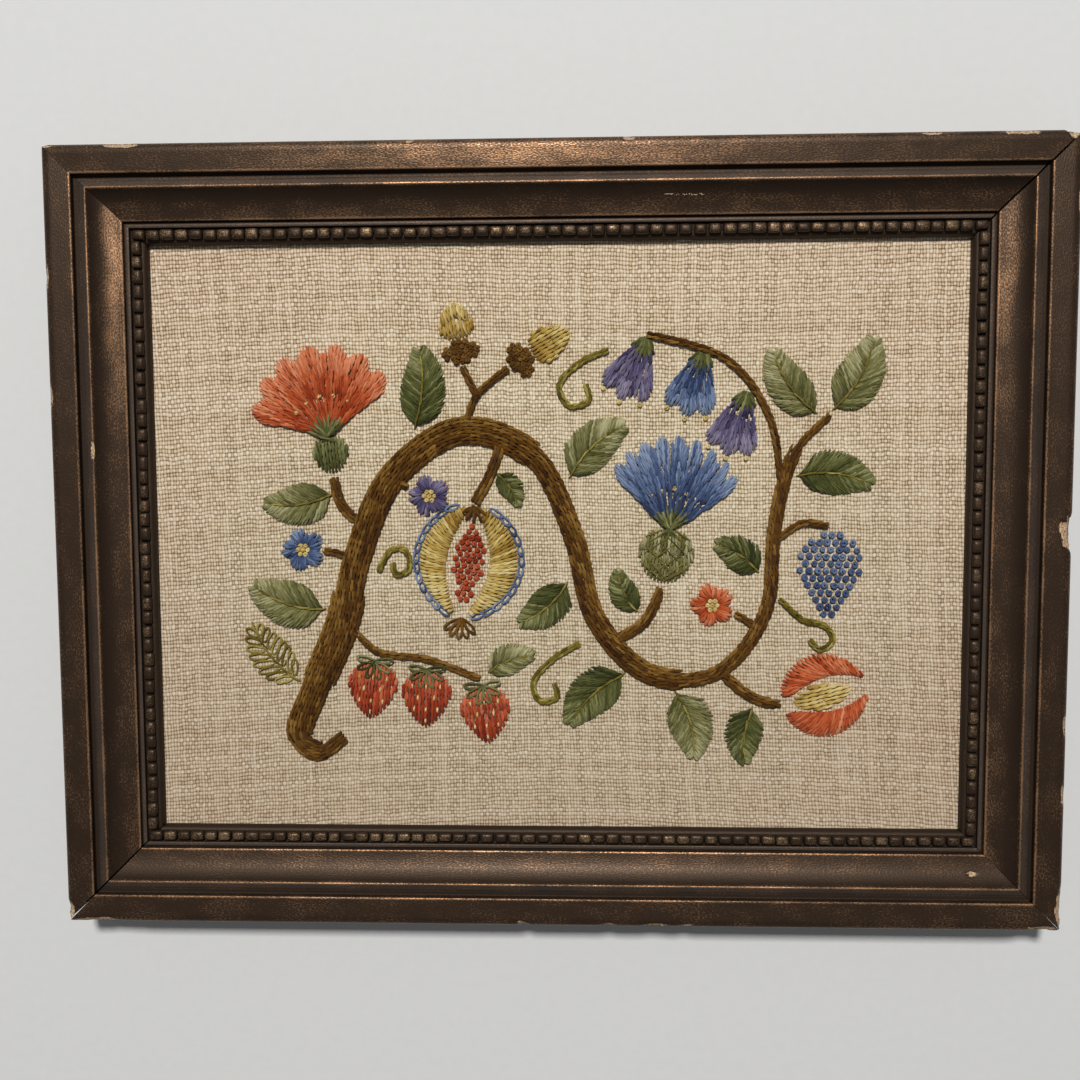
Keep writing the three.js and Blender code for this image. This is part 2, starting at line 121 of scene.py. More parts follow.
def tube_faces(count, rows, columns):
    """Faces of many equal closed tubes: quads between neighbouring rings, and a cap on each end."""
    quads = grid_quads(rows, columns, True)
    ring = np.arange(columns)
    caps = np.stack([ring, (rows - 1) * columns + ring[::-1]])
    shift = (np.arange(count) * rows * columns)[:, None, None]
    corners = np.concatenate([(quads + shift).ravel(), (caps + shift).ravel()])
    sizes = np.concatenate([np.full(count * len(quads), 4), np.full(count * 2, columns)])
    return Faces(corners, sizes)


def mesh_piece(name, points, faces, material, nodes=(), uv=None, marks=None, crease=None):
    """Fill a mesh from arrays, give it its finish, and let it ride on the body in place of its nodes."""
    mesh = bpy.data.meshes.new(name)
    mesh.vertices.add(len(points))
    mesh.vertices.foreach_set("co", (points * MM).astype(np.float32).ravel())
    mesh.loops.add(len(faces.corners))
    mesh.loops.foreach_set("vertex_index", faces.corners.astype(np.int32))
    mesh.polygons.add(len(faces.sizes))
    starts = np.concatenate([[0], np.cumsum(faces.sizes)[:-1]])
    mesh.polygons.foreach_set("loop_start", starts.astype(np.int32))
    mesh.update(calc_edges=True)
    mesh.shade_smooth()
    if uv is not None:
        mesh.uv_layers.new(name="run").data.foreach_set("uv", uv.astype(np.float32).ravel())
    for key, values in (marks or {}).items():
        layer = mesh.attributes.new(key, "FLOAT", "POINT").data
        layer.foreach_set("value", values.astype(np.float32).ravel())
    if crease:
        mesh.set_sharp_from_angle(angle=np.radians(crease))
    mesh.materials.append(material)
    piece = bpy.data.objects.new(name, mesh)
    scene.collection.objects.link(piece)
    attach(piece, "root")
    if nodes:
        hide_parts(*nodes)
    return piece


def value_noise(x, y, cell, seed):
    """Soft random values from 0 to 1: a table of random numbers, blended smoothly from cell to cell."""
    table = np.random.default_rng(seed).random((NOISE_CELLS, NOISE_CELLS))
    x, y = x / cell, y / cell
    left, low = np.floor(x).astype(int), np.floor(y).astype(int)
    a, b = x - left, y - low
    a, b = a * a * (3 - 2 * a), b * b * (3 - 2 * b)
    here = lambda i, j: table[(left + i) % NOISE_CELLS, (low + j) % NOISE_CELLS]
    near, far = (here(0, j) * (1 - a) + here(1, j) * a for j in (0, 1))
    return near * (1 - b) + far * b


def turned(x, y, degrees, origin):
    """Points turned about the upright axis and moved to an origin: x cos - y sin, x sin + y cos."""
    cosine, sine = np.cos(np.radians(degrees)), np.sin(np.radians(degrees))
    return x * cosine - y * sine + origin[0], x * sine + y * cosine + origin[1]


print("mesh helpers ready")

# %% [markdown]
# Finishes are node trees. A few short functions add a node and feed it, so that a tree reads like
# arithmetic.

# %% Node helpers
def srgb(red, green, blue):
    """A screen colour of 0 to 255 as the linear light values that shaders use."""
    share = np.array([red, green, blue]) / 255
    linear = np.where(share <= 0.04045, share / 12.92, ((share + 0.055) / 1.055) ** 2.4)
    return (*linear, 1.0)


def add(tree, kind, inputs=None, **options):
    """Add a node: options first, then its inputs, where a socket is linked and anything else is a value."""
    made = tree.nodes.new(kind)
    for key, value in options.items():
        setattr(made, key, value)
    for key, value in (inputs or {}).items():
        if isinstance(value, bpy.types.NodeSocket):
            tree.links.new(value, made.inputs[key])
        else:
            made.inputs[key].default_value = value
    return made


def maths(tree, operation, *values):
    """One step of arithmetic on sockets or numbers."""
    return add(tree, "ShaderNodeMath", dict(enumerate(values)), operation=operation).outputs[0]


def vectors(tree, operation, *values, output=0):
    """One step of arithmetic on places or directions."""
    return add(tree, "ShaderNodeVectorMath", dict(enumerate(values)), operation=operation).outputs[output]


def blend(tree, share, first, second, how="MIX"):
    """Mix two colours by a share from 0 to 1."""
    colours = {0: share, 6: first, 7: second}
    return add(tree, "ShaderNodeMix", colours, data_type="RGBA", blend_type=how).outputs[2]


def step(tree, value, low, high, start=0.0, end=1.0):
    """A soft step: start below low, end above high."""
    inputs = {"Value": value, "From Min": low, "From Max": high, "To Min": start, "To Max": end}
    return add(tree, "ShaderNodeMapRange", inputs, interpolation_type="SMOOTHSTEP").outputs["Result"]


def noise(tree, place, scale, detail=2.0):
    """Noise about as fine as 1 / scale of a metre, or of whatever unit place is in."""
    return add(tree, "ShaderNodeTexNoise", {"Vector": place, "Scale": scale, "Detail": detail}).outputs["Fac"]


def mark(tree, name):
    """The value that a mesh carries under this name."""
    return add(tree, "ShaderNodeAttribute", attribute_name=name).outputs["Fac"]


def object_place(tree):
    return add(tree, "ShaderNodeTexCoord").outputs["Object"]


def run_place(tree):
    """The place on the piece's own map."""
    return add(tree, "ShaderNodeUVMap", uv_map="run").outputs["UV"]


def emboss(tree, shader, height, strength, depth):
    """Let a height stand out on the surface, by a depth in millimetres."""
    bump = add(tree, "ShaderNodeBump", {"Strength": strength, "Distance": depth * MM, "Height": height})
    tree.links.new(bump.outputs["Normal"], shader["Normal"])


def effect(name, inputs, outputs):
    """A node group with named inputs and outputs; returns it with the sockets inside."""
    tree = bpy.data.node_groups.new(name, "ShaderNodeTree")
    for label, kind in inputs.items():
        tree.interface.new_socket(label, in_out="INPUT", socket_type=kind)
    for label, kind in outputs.items():
        tree.interface.new_socket(label, in_out="OUTPUT", socket_type=kind)
    return tree, tree.nodes.new("NodeGroupInput").outputs, tree.nodes.new("NodeGroupOutput").inputs


def finish_of(name):
    """A new material, with its tree and the inputs of its shader."""
    material = bpy.data.materials.new(name)
    material.use_nodes = True
    return material, material.node_tree, material.node_tree.nodes["Principled BSDF"].inputs


COLOR, VALUE, VECTOR = "NodeSocketColor", "NodeSocketFloat", "NodeSocketVector"
print("node helpers ready")

# %% [markdown]
# The floor is a plain white sheet. One soft lamp stands on the far side, high up, and a pale sky fills
# the shadows. The lamp throws the narrow shadow that lies along the near edge of the frame.

# %% Floor and light
FLOOR_REACH, FLOOR_LINES, FLOOR_DROP = 900.0, 5, 0.05
FLOOR_WHITES = (srgb(228, 227, 224), srgb(234, 233, 230))
LAMP_PLACE = (-77.0, 1057.0, 2000.0)
LAMP_SIZE = 0.24
LAMP_POWER = 40.0
SKY_COLOUR = (0.93, 0.96, 1.0, 1.0)
SKY_STRENGTH = 0.13

floor_white, tree, shader = finish_of("floor_white")
grain = noise(tree, object_place(tree), 420.0, 4.0)
tree.links.new(blend(tree, grain, *FLOOR_WHITES), shader["Base Color"])
shader["Roughness"].default_value = 0.7
span = np.linspace(-FLOOR_REACH, FLOOR_REACH, FLOOR_LINES)
floor_x, floor_y = np.meshgrid(span, span, indexing="ij")
floor_points = np.stack([floor_x, floor_y, np.full_like(floor_x, -FLOOR_DROP)], -1).reshape(-1, 3)
floor_mesh = bpy.data.meshes.new("floor")
floor_quads = grid_quads(FLOOR_LINES, FLOOR_LINES, False)
floor_mesh.from_pydata((floor_points * MM).tolist(), [], floor_quads.tolist())
floor_mesh.materials.append(floor_white)
floor = bpy.data.objects.new("floor", floor_mesh)
scene.collection.objects.link(floor)

lamp_data = bpy.data.lights.new("lamp", "AREA")
lamp_data.size = LAMP_SIZE
lamp_data.energy = LAMP_POWER
lamp = bpy.data.objects.new("lamp", lamp_data)
lamp.location = np.array(LAMP_PLACE) * MM
lamp.rotation_euler = (-lamp.location).to_track_quat("-Z", "Y").to_euler()
scene.collection.objects.link(lamp)
world = bpy.data.worlds.new("sky")
world.use_nodes = True
world.node_tree.nodes["Background"].inputs["Color"].default_value = SKY_COLOUR
world.node_tree.nodes["Background"].inputs["Strength"].default_value = SKY_STRENGTH
scene.world = world
print("lamp of", LAMP_POWER, "W, sky", SKY_STRENGTH)

# %% [markdown]
# The frame's finish is a dark brown ground under bronze powder that handling has rubbed: bright along
# the arrises, speckled on the flats, dull and nearly black in the grooves from dirt and painted shade,
# and down to pale gesso where a chip is out. The flat tops of the ridge and fillet carry a grey painted
# sheen. Rails and beads share it as one group, and each brings its own two colours.

# %% Rubbed bronze
CLOUDS_PER_MM, GRAINS_PER_MM = 0.22, 3.6
RUB_SHARE, POWDER_SHARE, CLOUD_SHARE = 0.6, 0.38, 0.15
WORN_FROM, WORN_THROUGH = 0.34, 1.08
SPECULAR_TINT = (1.0, 0.7, 0.5, 1.0)
GESSO = (srgb(140, 96, 66), srgb(226, 198, 160))
SOOT_AND_SHADE, PAINTED_SHEEN_GREY = srgb(18, 14, 11), srgb(98, 90, 84)

rubbed_bronze, given, put = effect(
    "rubbed_bronze",
    {
        "Place": VECTOR, "Ground": COLOR, "Bronze": COLOR,
        "Rub": VALUE, "Grime": VALUE, "Chip": VALUE, "Gloss": VALUE,
    },
    {"Color": COLOR, "Roughness": VALUE, "Metallic": VALUE, "Height": VALUE},
)
tree = rubbed_bronze
cloud = step(tree, noise(tree, given["Place"], CLOUDS_PER_MM, 4.0), 0.34, 0.66)
grain = noise(tree, given["Place"], GRAINS_PER_MM, 3.0)
powder = step(tree, grain, 0.3, 0.7)
worn = maths(tree, "MULTIPLY_ADD", given["Rub"], RUB_SHARE, maths(tree, "MULTIPLY", powder, POWDER_SHARE))
worn = maths(tree, "MULTIPLY_ADD", cloud, CLOUD_SHARE, worn)
clean = maths(tree, "SUBTRACT", 1.0, given["Grime"])
bright = maths(tree, "MULTIPLY", step(tree, worn, WORN_FROM, WORN_THROUGH), clean)
# Dirt and painted shade: this mark darkens the ground to near black in the grooves, the quirk, the lip wall
# and under the beads.
shadow = blend(tree, maths(tree, "MULTIPLY", given["Grime"], 0.85), given["Ground"], SOOT_AND_SHADE)
tint = blend(tree, bright, shadow, given["Bronze"])
# Painted sheen: the ridge and fillet tops are tinted grey in place of their reflection.
tint = blend(tree, maths(tree, "MULTIPLY", given["Gloss"], 0.4), tint, PAINTED_SHEEN_GREY)
gesso = blend(tree, powder, *GESSO)
ragged = maths(tree, "MULTIPLY_ADD", maths(tree, "SUBTRACT", grain, 0.5), 0.9, given["Chip"])
chipped = step(tree, ragged, 0.4, 0.5)
tree.links.new(blend(tree, chipped, tint, gesso), put["Color"])
dull = maths(tree, "MULTIPLY_ADD", given["Grime"], 0.3, maths(tree, "MULTIPLY_ADD", powder, -0.1, 0.42))
tree.links.new(maths(tree, "MAXIMUM", dull, maths(tree, "MULTIPLY", chipped, 0.9)), put["Roughness"])
metal = maths(tree, "MULTIPLY", bright, maths(tree, "MULTIPLY_ADD", chipped, -0.8, 0.8))
tree.links.new(metal, put["Metallic"])
tree.links.new(maths(tree, "MULTIPLY_ADD", chipped, -0.5, maths(tree, "ADD", grain, powder)), put["Height"])


def bronze_finish(name, ground, bronze, place_of):
    """A frame finish: the rubbed bronze effect in its own colours, at the place in mm that place_of gives."""
    material, tree, shader = finish_of(name)
    wear = add(tree, "ShaderNodeGroup", {}, node_tree=rubbed_bronze)
    tree.links.new(vectors(tree, "MULTIPLY", *place_of(tree)), wear.inputs["Place"])
    for key in ("Rub", "Grime", "Chip", "Gloss"):
        tree.links.new(mark(tree, key.lower()), wear.inputs[key])
    wear.inputs["Ground"].default_value, wear.inputs["Bronze"].default_value = ground, bronze
    for key, label in (("Color", "Base Color"), ("Roughness", "Roughness"), ("Metallic", "Metallic")):
        tree.links.new(wear.outputs[key], shader[label])
    shader["Specular IOR Level"].default_value = 0.4
    shader["Specular Tint"].default_value = SPECULAR_TINT
    emboss(tree, shader, wear.outputs["Height"], 0.25, 0.06)
    return material


def along_rail(tree):
    """Place by the rail's own run, drawn out along it as a brush draws bronze powder."""
    return run_place(tree), (0.5, 1.0, 1.0)


def in_space(tree):
    """Place in the room, turned from metres into millimetres."""
    return object_place(tree), (1000.0, 1000.0, 1000.0)


bronzed_wood = bronze_finish("bronzed_wood", srgb(46, 34, 25), srgb(190, 144, 106), along_rail)
bead_gilt = bronze_finish("bead_gilt", srgb(44, 33, 25), srgb(200, 164, 122), in_space)
print("frame finishes:", bronzed_wood.name, bead_gilt.name)

# %% [markdown]
# A rail is one moulding section carried along a straight run. Seen from the outside edge inwards the
# section is a flat band, a groove, a small sloping ridge, a broad cove, a quirk, a fillet, the seat of
# the beads and the lip. The section is drawn once from lines and curves, cut into short even steps, and
# softened a little, because paint rounds every arris.

# %% The moulding section
RAIL_WIDTH = np.ptp([corner[1] for corner in box_mm("rail_top")])
SIDE_LOW, SIDE_HIGH = 4.5, 9.0
BAND_WIDTH, BAND_ROUND, BAND_SHOULDER, BAND_TOP, BAND_ARRIS = 6.6, 2.0, 14.6, 16.4, 16.1
GROOVE_END, GROOVE_FLOOR = 7.9, 14.5
RIDGE_STEP, RIDGE_CREST = 14.8, (9.55, 15.4)
COVE_BELLY, COVE_END, COVE_FOOT = (11.22, 12.8), 16.5, 12.0
QUIRK_END, QUIRK_FLOOR = 17.0, 11.1
FILLET_END, FILLET_TOP = 17.95, 12.0
BEAD_SEAT, LIP_START, LIP_NOSE, LIP_ROUND_END, LIP_FOOT = 10.9, 20.5, 10.7, 9.6, 9.2
REBATE_WIDTH, REBATE_TOP = 8.7, 8.7
REBATE_START = RAIL_WIDTH - REBATE_WIDTH
SECTION_STEP = 0.23


def curve(*controls, steps=12):
    """Points of the smooth curve that its controls shape: neighbours are blended at each share t."""
    t = np.linspace(0, 1, steps)[:, None]
    level = [np.array(c, float)[None] for c in controls]
    while len(level) > 1:
        level = [a * (1 - t) + b * t for a, b in zip(level, level[1:])]
    return level[0]


def even_steps(line, gap):
    """The same line cut into even steps of about gap, by its length from the start."""
    run = np.concatenate([[0], np.cumsum(np.linalg.norm(np.diff(line, axis=0), axis=1))])
    keep = np.concatenate([[True], np.diff(run) > 1e-9])
    at = np.linspace(0, run[-1], int(run[-1] / gap) + 1)
    return np.stack([np.interp(at, run[keep], line[keep, i]) for i in range(line.shape[1])], 1)


face = np.concatenate([
    [(0, SIDE_HIGH)], curve((0, BAND_SHOULDER), (0, BAND_TOP), (BAND_ROUND, BAND_TOP)),
    [(BAND_WIDTH, BAND_ARRIS), (BAND_WIDTH, GROOVE_FLOOR), (GROOVE_END, GROOVE_FLOOR)],
    [(GROOVE_END, RIDGE_STEP)], curve(RIDGE_CREST, COVE_BELLY, (COVE_END, COVE_FOOT)),
    [(COVE_END, QUIRK_FLOOR), (QUIRK_END, QUIRK_FLOOR)],
    [(QUIRK_END, FILLET_TOP), (FILLET_END, FILLET_TOP), (FILLET_END, BEAD_SEAT)],
    curve((LIP_START, BEAD_SEAT), (RAIL_WIDTH, LIP_NOSE), (RAIL_WIDTH, LIP_ROUND_END)),
    [(RAIL_WIDTH, LIP_FOOT)],
])
face = even_steps(face, SECTION_STEP)
kernel = np.array([1, 2, 1]) / 4
face[1:-1] = np.stack([np.convolve(face[:, i], kernel, "valid") for i in range(2)], 1)
back = [(RAIL_WIDTH, REBATE_TOP), (REBATE_START, REBATE_TOP), (REBATE_START, 0)]
section = np.concatenate([[(0, 0), (0, SIDE_LOW)], face, back])
print("section of", len(section), "points")

# %% [markdown]
# The wear belongs to places on the frame, so it is worked out on the rail's own points: a table says
# how rubbed each member of the section is, how dark it is painted for dirt and shade in the hollows,
# and how much grey sheen is painted on it; a second one where a chip is out, and a third one where a
# highlight is painted on as extra rub. A chip presses the points in towards the core, with a ragged
# border, and marks them for the gesso.

# %% Wear of the rails
EDGE, RIDGE, COVE = (0.4, 15.7), (9.3, 15.3), (12.2, 13.2)
CHIP_FILL, CHIP_RAGGED, CHIP_LIMIT = 1.25, 1.1, 1.6
CHIP_INWARD, CHIP_DOWN = 0.55, 0.8
Chip = namedtuple("Chip", "side along length depth reach spot bare", defaults=(EDGE, 1.0))
PaintedHighlight = namedtuple("PaintedHighlight", "side along length inward width gain")
Member = namedtuple("Member", "inward rub grime gloss")
# Columns: distance inward; rub of wear; dirt with painted shade in the hollows; painted grey sheen.
MEMBERS = [Member(*row) for row in (
    (0.0, 0.1, 0.1, 0.0), (0.6, 0.25, 0.0, 0.0), (1.6, 0.08, 0.0, 0.0), (6.0, 0.12, 0.0, 0.0),
    (6.35, 0.9, 0.0, 0.1), (6.55, 0.3, 0.2, 0.0), (6.7, 0.0, 0.9, 0.0), (7.5, 0.0, 0.7, 0.1),
    (7.85, 0.45, 0.1, 0.6), (8.1, 0.15, 0.1, 0.7), (9.1, 0.15, 0.1, 0.6), (9.45, 1.0, 0.0, 0.1),
    (9.7, 0.3, 0.1, 0.0), (10.1, 0.0, 0.4, 0.0), (11.6, 0.0, 0.35, 0.0), (12.8, 0.15, 0.0, 0.0),
    (15.9, 0.2, 0.0, 0.0), (16.3, 0.85, 0.0, 0.0), (16.5, 0.2, 0.6, 0.0), (16.7, 0.0, 0.95, 0.0),
    (16.95, 0.0, 0.9, 0.0), (17.1, 0.1, 0.1, 0.8), (17.85, 0.25, 0.1, 0.8), (18.0, 0.0, 0.9, 0.0),
    (20.3, 0.0, 0.9, 0.0), (20.6, 0.05, 0.5, 0.2), (21.1, 0.05, 0.5, 0.1), (21.4, 0.0, 0.9, 0.0),
)]
CHIPS = [Chip(*row) for row in (
    ("top", -96.2, 8.3, 0.4, 1.0), ("top", -31.7, 2.4, 0.5, 0.9), ("top", 16.3, 3.0, 0.5, 1.0),
    ("top", 82.0, 5.0, 0.4, 0.8), ("top", 101.0, 10.3, 0.4, 1.0), ("top", 112.6, 4.0, 0.9, 2.4),
    ("top", -112.9, 2.4, 0.5, 0.7), ("top", 29.0, 19.0, 0.0, 0.5, COVE, 0.42),
    ("right", 1.6, 9.4, 1.1, 2.7), ("right", 74.0, 6.0, 0.4, 0.9), ("right", -41.5, 4.9, 0.5, 1.0),
    ("right", -57.3, 5.5, 0.5, 1.0), ("right", -83.6, 10.0, 0.6, 1.4),
    ("bottom", -8.0, 3.0, 0.6, 1.2), ("bottom", 11.7, 3.4, 0.5, 1.0), ("bottom", 22.6, 5.6, 0.5, 1.0),
    ("bottom", 30.0, 3.2, 0.6, 1.0), ("bottom", 109.6, 7.6, 0.6, 1.3), ("bottom", -106.6, 13.0, 0.5, 1.0),
    ("left", -86.4, 5.0, 0.6, 1.5), ("left", 21.0, 6.5, 0.25, 0.5, RIDGE), ("left", 60.0, 7.0, 0.4, 0.8),
    ("left", 33.0, 5.0, 0.4, 0.8), ("bottom", 95.0, 2.6, 0.3, 0.7, COVE),
)]
PAINTED_HIGHLIGHTS = [PaintedHighlight(*row) for row in (
    ("top", -4.0, 52.0, 3.4, 3.0, 0.62), ("bottom", -2.0, 40.0, 13.4, 2.0, 0.1),
    ("left", 62.0, 30.0, 14.2, 2.4, 0.55), ("right", 64.0, 28.0, 14.2, 2.4, 0.38),
)]


def worn_rail(side, sign, along, inward, height, seed):
    """Press in chips; return points and marks: rub and painted highlight, dirt and painted shade, painted
    sheen, chip.
    """
    reach, rub, grime, gloss = np.array(MEMBERS).T
    rub, grime, gloss = (np.interp(inward, reach, level) for level in (rub, grime, gloss))
    broad, fine = value_noise(along, inward * 3, 17.0, seed), value_noise(along, inward, 3.0, seed + 9)
    rub = rub * (0.5 + 0.5 * broad + 0.5 * fine)
    # Painted highlights: extra rub where the lamp's highlight falls on the rail.
    for highlight_patch in (row for row in PAINTED_HIGHLIGHTS if row.side == side):
        far_along = (along - sign * highlight_patch.along) / highlight_patch.length
        far_inward = (inward - highlight_patch.inward) / highlight_patch.width
        rub = rub + highlight_patch.gain * np.exp(-(far_along ** 2 + far_inward ** 2))
    ragged = value_noise(along + 200, inward * 1.3 + height, 1.1, seed + 1) - 0.5
    chip = np.zeros_like(along)
    for row in (row for row in CHIPS if row.side == side):
        spread = (inward - row.spot[0]) ** 2 + (height - row.spot[1]) ** 2
        far = ((along - sign * row.along) / (row.length / 2)) ** 2 + spread / row.reach ** 2
        out = np.clip(CHIP_FILL * (1 - far) + CHIP_RAGGED * ragged, 0, 1) * (far < CHIP_LIMIT)
        inward, height = inward + CHIP_INWARD * row.depth * out, height - CHIP_DOWN * row.depth * out
        chip = np.maximum(chip, row.bare * out)
    return along, inward, height, {"rub": rub, "grime": grime, "gloss": gloss, "chip": chip}


print(len(CHIPS), "chips and", len(PAINTED_HIGHLIGHTS), "painted_highlight places")

# %% [markdown]
# Each rail's ends are cut at 45 degrees, so a point further inward has a shorter run. Two of the mitres
# have opened with age, and two are still tight. Knocks have rounded the outer corners: points beyond a
# circle that touches both outer edges are drawn back onto it. The run goes to its place by a turn about
# the upright axis.

# %% The four rails
Rail = namedtuple("Rail", "side run turn x y sign start end")
STATION_STEP, CORNER_STEP, CORNER_REACH = 0.8, 0.25, 4.0
CORNER_RADIUS = 1.8
RAIL_SHIFT, RAIL_CREASE = 500.0, 50
MITRE = {"top_left": 0.05, "top_right": 0.3, "bottom_right": 0.07, "bottom_left": 0.26}
RAILS = [Rail(*row) for row in (
    ("bottom", OUTER_WIDTH, 0, 0, -OUTER_HEIGHT / 2, 1, "bottom_left", "bottom_right"),
    ("right", OUTER_HEIGHT, 90, OUTER_WIDTH / 2, 0, 1, "bottom_right", "top_right"),
    ("top", OUTER_WIDTH, 180, 0, OUTER_HEIGHT / 2, -1, "top_right", "top_left"),
    ("left", OUTER_HEIGHT, -90, -OUTER_WIDTH / 2, 0, -1, "top_left", "bottom_left"),
)]


def put_on_rail(points, rail):
    """Turn points of a rail's own run, inward and height directions to the rail's place on the frame."""
    x, y = turned(points[..., 0], points[..., 1], rail.turn, (rail.x, rail.y))
    return np.stack([x, y, points[..., 2]], -1).reshape(-1, 3)


def stations(run):
    """Shares of a run from 0 to 1, close together near both ends and wider apart between them."""
    end = np.arange(0, CORNER_REACH, CORNER_STEP)
    middle = np.arange(CORNER_REACH, run - CORNER_REACH, STATION_STEP)
    return np.concatenate([end, middle, run - end[::-1]]) / run


def round_corners(along, inward, run):
    """Draw points near an outer corner onto a circle: their offset from its centre * radius / distance."""
    from_end = run / 2 - np.abs(along)
    a, b = (np.maximum(CORNER_RADIUS - edge, 0) for edge in (inward, from_end))
    shrink = np.minimum(1, CORNER_RADIUS / np.maximum(np.hypot(a, b), 1e-9))
    return along - np.sign(along) * b * (1 - shrink), inward + a * (1 - shrink)


girth = np.concatenate([[0], np.cumsum(np.linalg.norm(np.diff(section, axis=0), axis=1))])
for seed, rail in enumerate(RAILS):
    share = stations(rail.run)[:, None]
    half = rail.run / 2 - section[None, :, 0]
    first, last = MITRE[rail.start] - half, half - MITRE[rail.end]
    along = first + share * (last - first)
    inward, height = (np.broadcast_to(section[None, :, i], along.shape) for i in (0, 1))
    along, inward, height, marks = worn_rail(rail.side, rail.sign, along, inward, height, seed)
    points = np.stack([*round_corners(along, inward, rail.run), height], -1)
    faces = tube_faces(1, *along.shape)
    run_map = np.stack(np.broadcast_arrays(along + RAIL_SHIFT * seed, girth), -1).reshape(-1, 2)
    mesh_piece(
        f"moulding_{rail.side}", put_on_rail(points, rail), faces, bronzed_wood,
        [f"rail_{rail.side}"], uv=run_map[faces.corners], marks=marks, crease=RAIL_CREASE,
    )
    print("moulding", rail.side, along.shape)

# %% [markdown]
# The beads sit in a row on their seat. One bead is a pillow: a ball whose rings are rounded squares,
# with a flat belly below. All beads of a rail are one array, each a little different in size and place.

# %% The beads
BEAD_PITCH = 3.25
BEAD_SIZE = (1.62, 1.12, 1.3)
BEAD_INWARD, BEAD_LIFT, BEAD_BELLY = 19.4, 0.15, 0.1
BEAD_RINGS, BEAD_SIDES = 7, 12
BEAD_LATITUDES = (-1.25, 1.45)
SIDE_SQUARENESS, TOP_SQUARENESS = 0.5, 0.42
UNEVEN, ASTRAY = 0.05, 0.04
SIDE_BEAD_HIGHLIGHT = 0.6


def rounded(angle, power):
    """Cosine and sine of an angle, both raised to a power that squares the round off."""
    c, s = np.cos(angle), np.sin(angle)
    return np.sign(c) * np.abs(c) ** power, np.sign(s) * np.abs(s) ** power


def bead_row(count, random):
    """Pillows side by side: ring radius = cosine of the latitude, height = its sine, flat below."""
    latitude = np.linspace(*BEAD_LATITUDES, BEAD_RINGS)[None, :, None]
    longitude = -np.linspace(0, 2 * np.pi, BEAD_SIDES, endpoint=False)[None, None, :]
    ring, rise = rounded(latitude, SIDE_SQUARENESS)
    east, north = rounded(longitude, TOP_SQUARENESS)
    size = np.array(BEAD_SIZE) * (1 + UNEVEN * random.standard_normal((count, 3)))
    at = (np.arange(count) - (count - 1) / 2) * BEAD_PITCH + UNEVEN * random.standard_normal(count)
    along = at[:, None, None] + size[:, :1, None] * ring * east
    inward = BEAD_INWARD + size[:, 1:2, None] * ring * north + ASTRAY * random.standard_normal((count, 1, 1))
    height = BEAD_SEAT + BEAD_LIFT + size[:, 2:, None] * np.where(rise > 0, rise, BEAD_BELLY * rise)
    return np.stack(np.broadcast_arrays(along, inward, height), -1), rise


for seed, rail in enumerate(RAILS):
    random = np.random.default_rng(20 + seed)
    low, high = box_mm(f"beads_{rail.side}")
    count = int(round(max(high[:2] - low[:2]) / BEAD_PITCH))
    points, rise = bead_row(count, random)
    level = np.broadcast_to(rise, points.shape[:-1])
    bare = np.zeros(level.shape)
    # Bead tops get extra rub, wear and a painted highlight, fuller on the top and bottom rails than on the
    # sides; lower down each bead is painted darker, dirt and painted shade.
    wear_and_highlight = random.uniform(0.1, 0.6, (count, 1, 1)) * (1.0 if rail.run == OUTER_WIDTH else SIDE_BEAD_HIGHLIGHT)
    rub, grime = np.clip(level * 3.0 - 2.1, 0, 1) * wear_and_highlight, np.clip(0.95 - level, 0, 0.85)
    mesh_piece(
        f"bead_row_{rail.side}", put_on_rail(points, rail), tube_faces(count, BEAD_RINGS, BEAD_SIDES),
        bead_gilt, [f"beads_{rail.side}"],
        marks={"rub": rub, "grime": grime, "chip": bare, "gloss": bare},
    )
    print("beads", rail.side, count)

# %% [markdown]
# Linen is a plain weave: each thread goes over one crossing thread and under the next. Thousands of
# real threads would be far too many faces, so the cloth is one sheet and the weave is worked out in its
# material, in units of threads. The sheet's map bends with the weft, which bows a little, as cloth does
# when it is stretched by hand.

# %% Plain weave
Thread = namedtuple("Thread", "number wave chance bulge")
SLUB_STRETCH = {"warp": (0.8, 0.09, 1.0), "weft": (0.09, 0.8, 1.0)}
WEFT_SEED = 733.0
THREAD_HALF, SLUB_SHARE = 0.34, 0.3
WARP_LEVEL, WARP_CRIMP = 0.46, 0.28
WEFT_LEVEL, WEFT_CRIMP = 0.54, 0.36

plain_weave, given, put = effect("plain_weave", {"Place": VECTOR}, {"Height": VALUE, "Tone": VALUE})
tree = plain_weave
split = add(tree, "ShaderNodeSeparateXYZ", {0: given["Place"]}).outputs
threads = {}
for key, lane, shift in (("warp", split["X"], 0.0), ("weft", split["Y"], WEFT_SEED)):
    number = maths(tree, "FLOOR", lane)
    across = maths(tree, "SUBTRACT", maths(tree, "FRACT", lane), 0.5)
    wave = maths(tree, "COSINE", maths(tree, "MULTIPLY", across, np.pi))
    seed = maths(tree, "ADD", number, shift)
    chance = add(tree, "ShaderNodeTexWhiteNoise", {"W": seed}, noise_dimensions="1D").outputs["Value"]
    slub = noise(tree, vectors(tree, "MULTIPLY", given["Place"], SLUB_STRETCH[key]), 1.0)
    far = maths(tree, "DIVIDE", across, maths(tree, "MULTIPLY_ADD", slub, SLUB_SHARE, THREAD_HALF))
    left = maths(tree, "SUBTRACT", 1.0, maths(tree, "MULTIPLY", far, far))
    threads[key] = Thread(number, wave, chance, maths(tree, "SQRT", maths(tree, "MAXIMUM", left, 0.0)))
warp, weft = threads["warp"], threads["weft"]
parity = maths(tree, "FLOORED_MODULO", maths(tree, "ADD", warp.number, weft.number), 2.0)
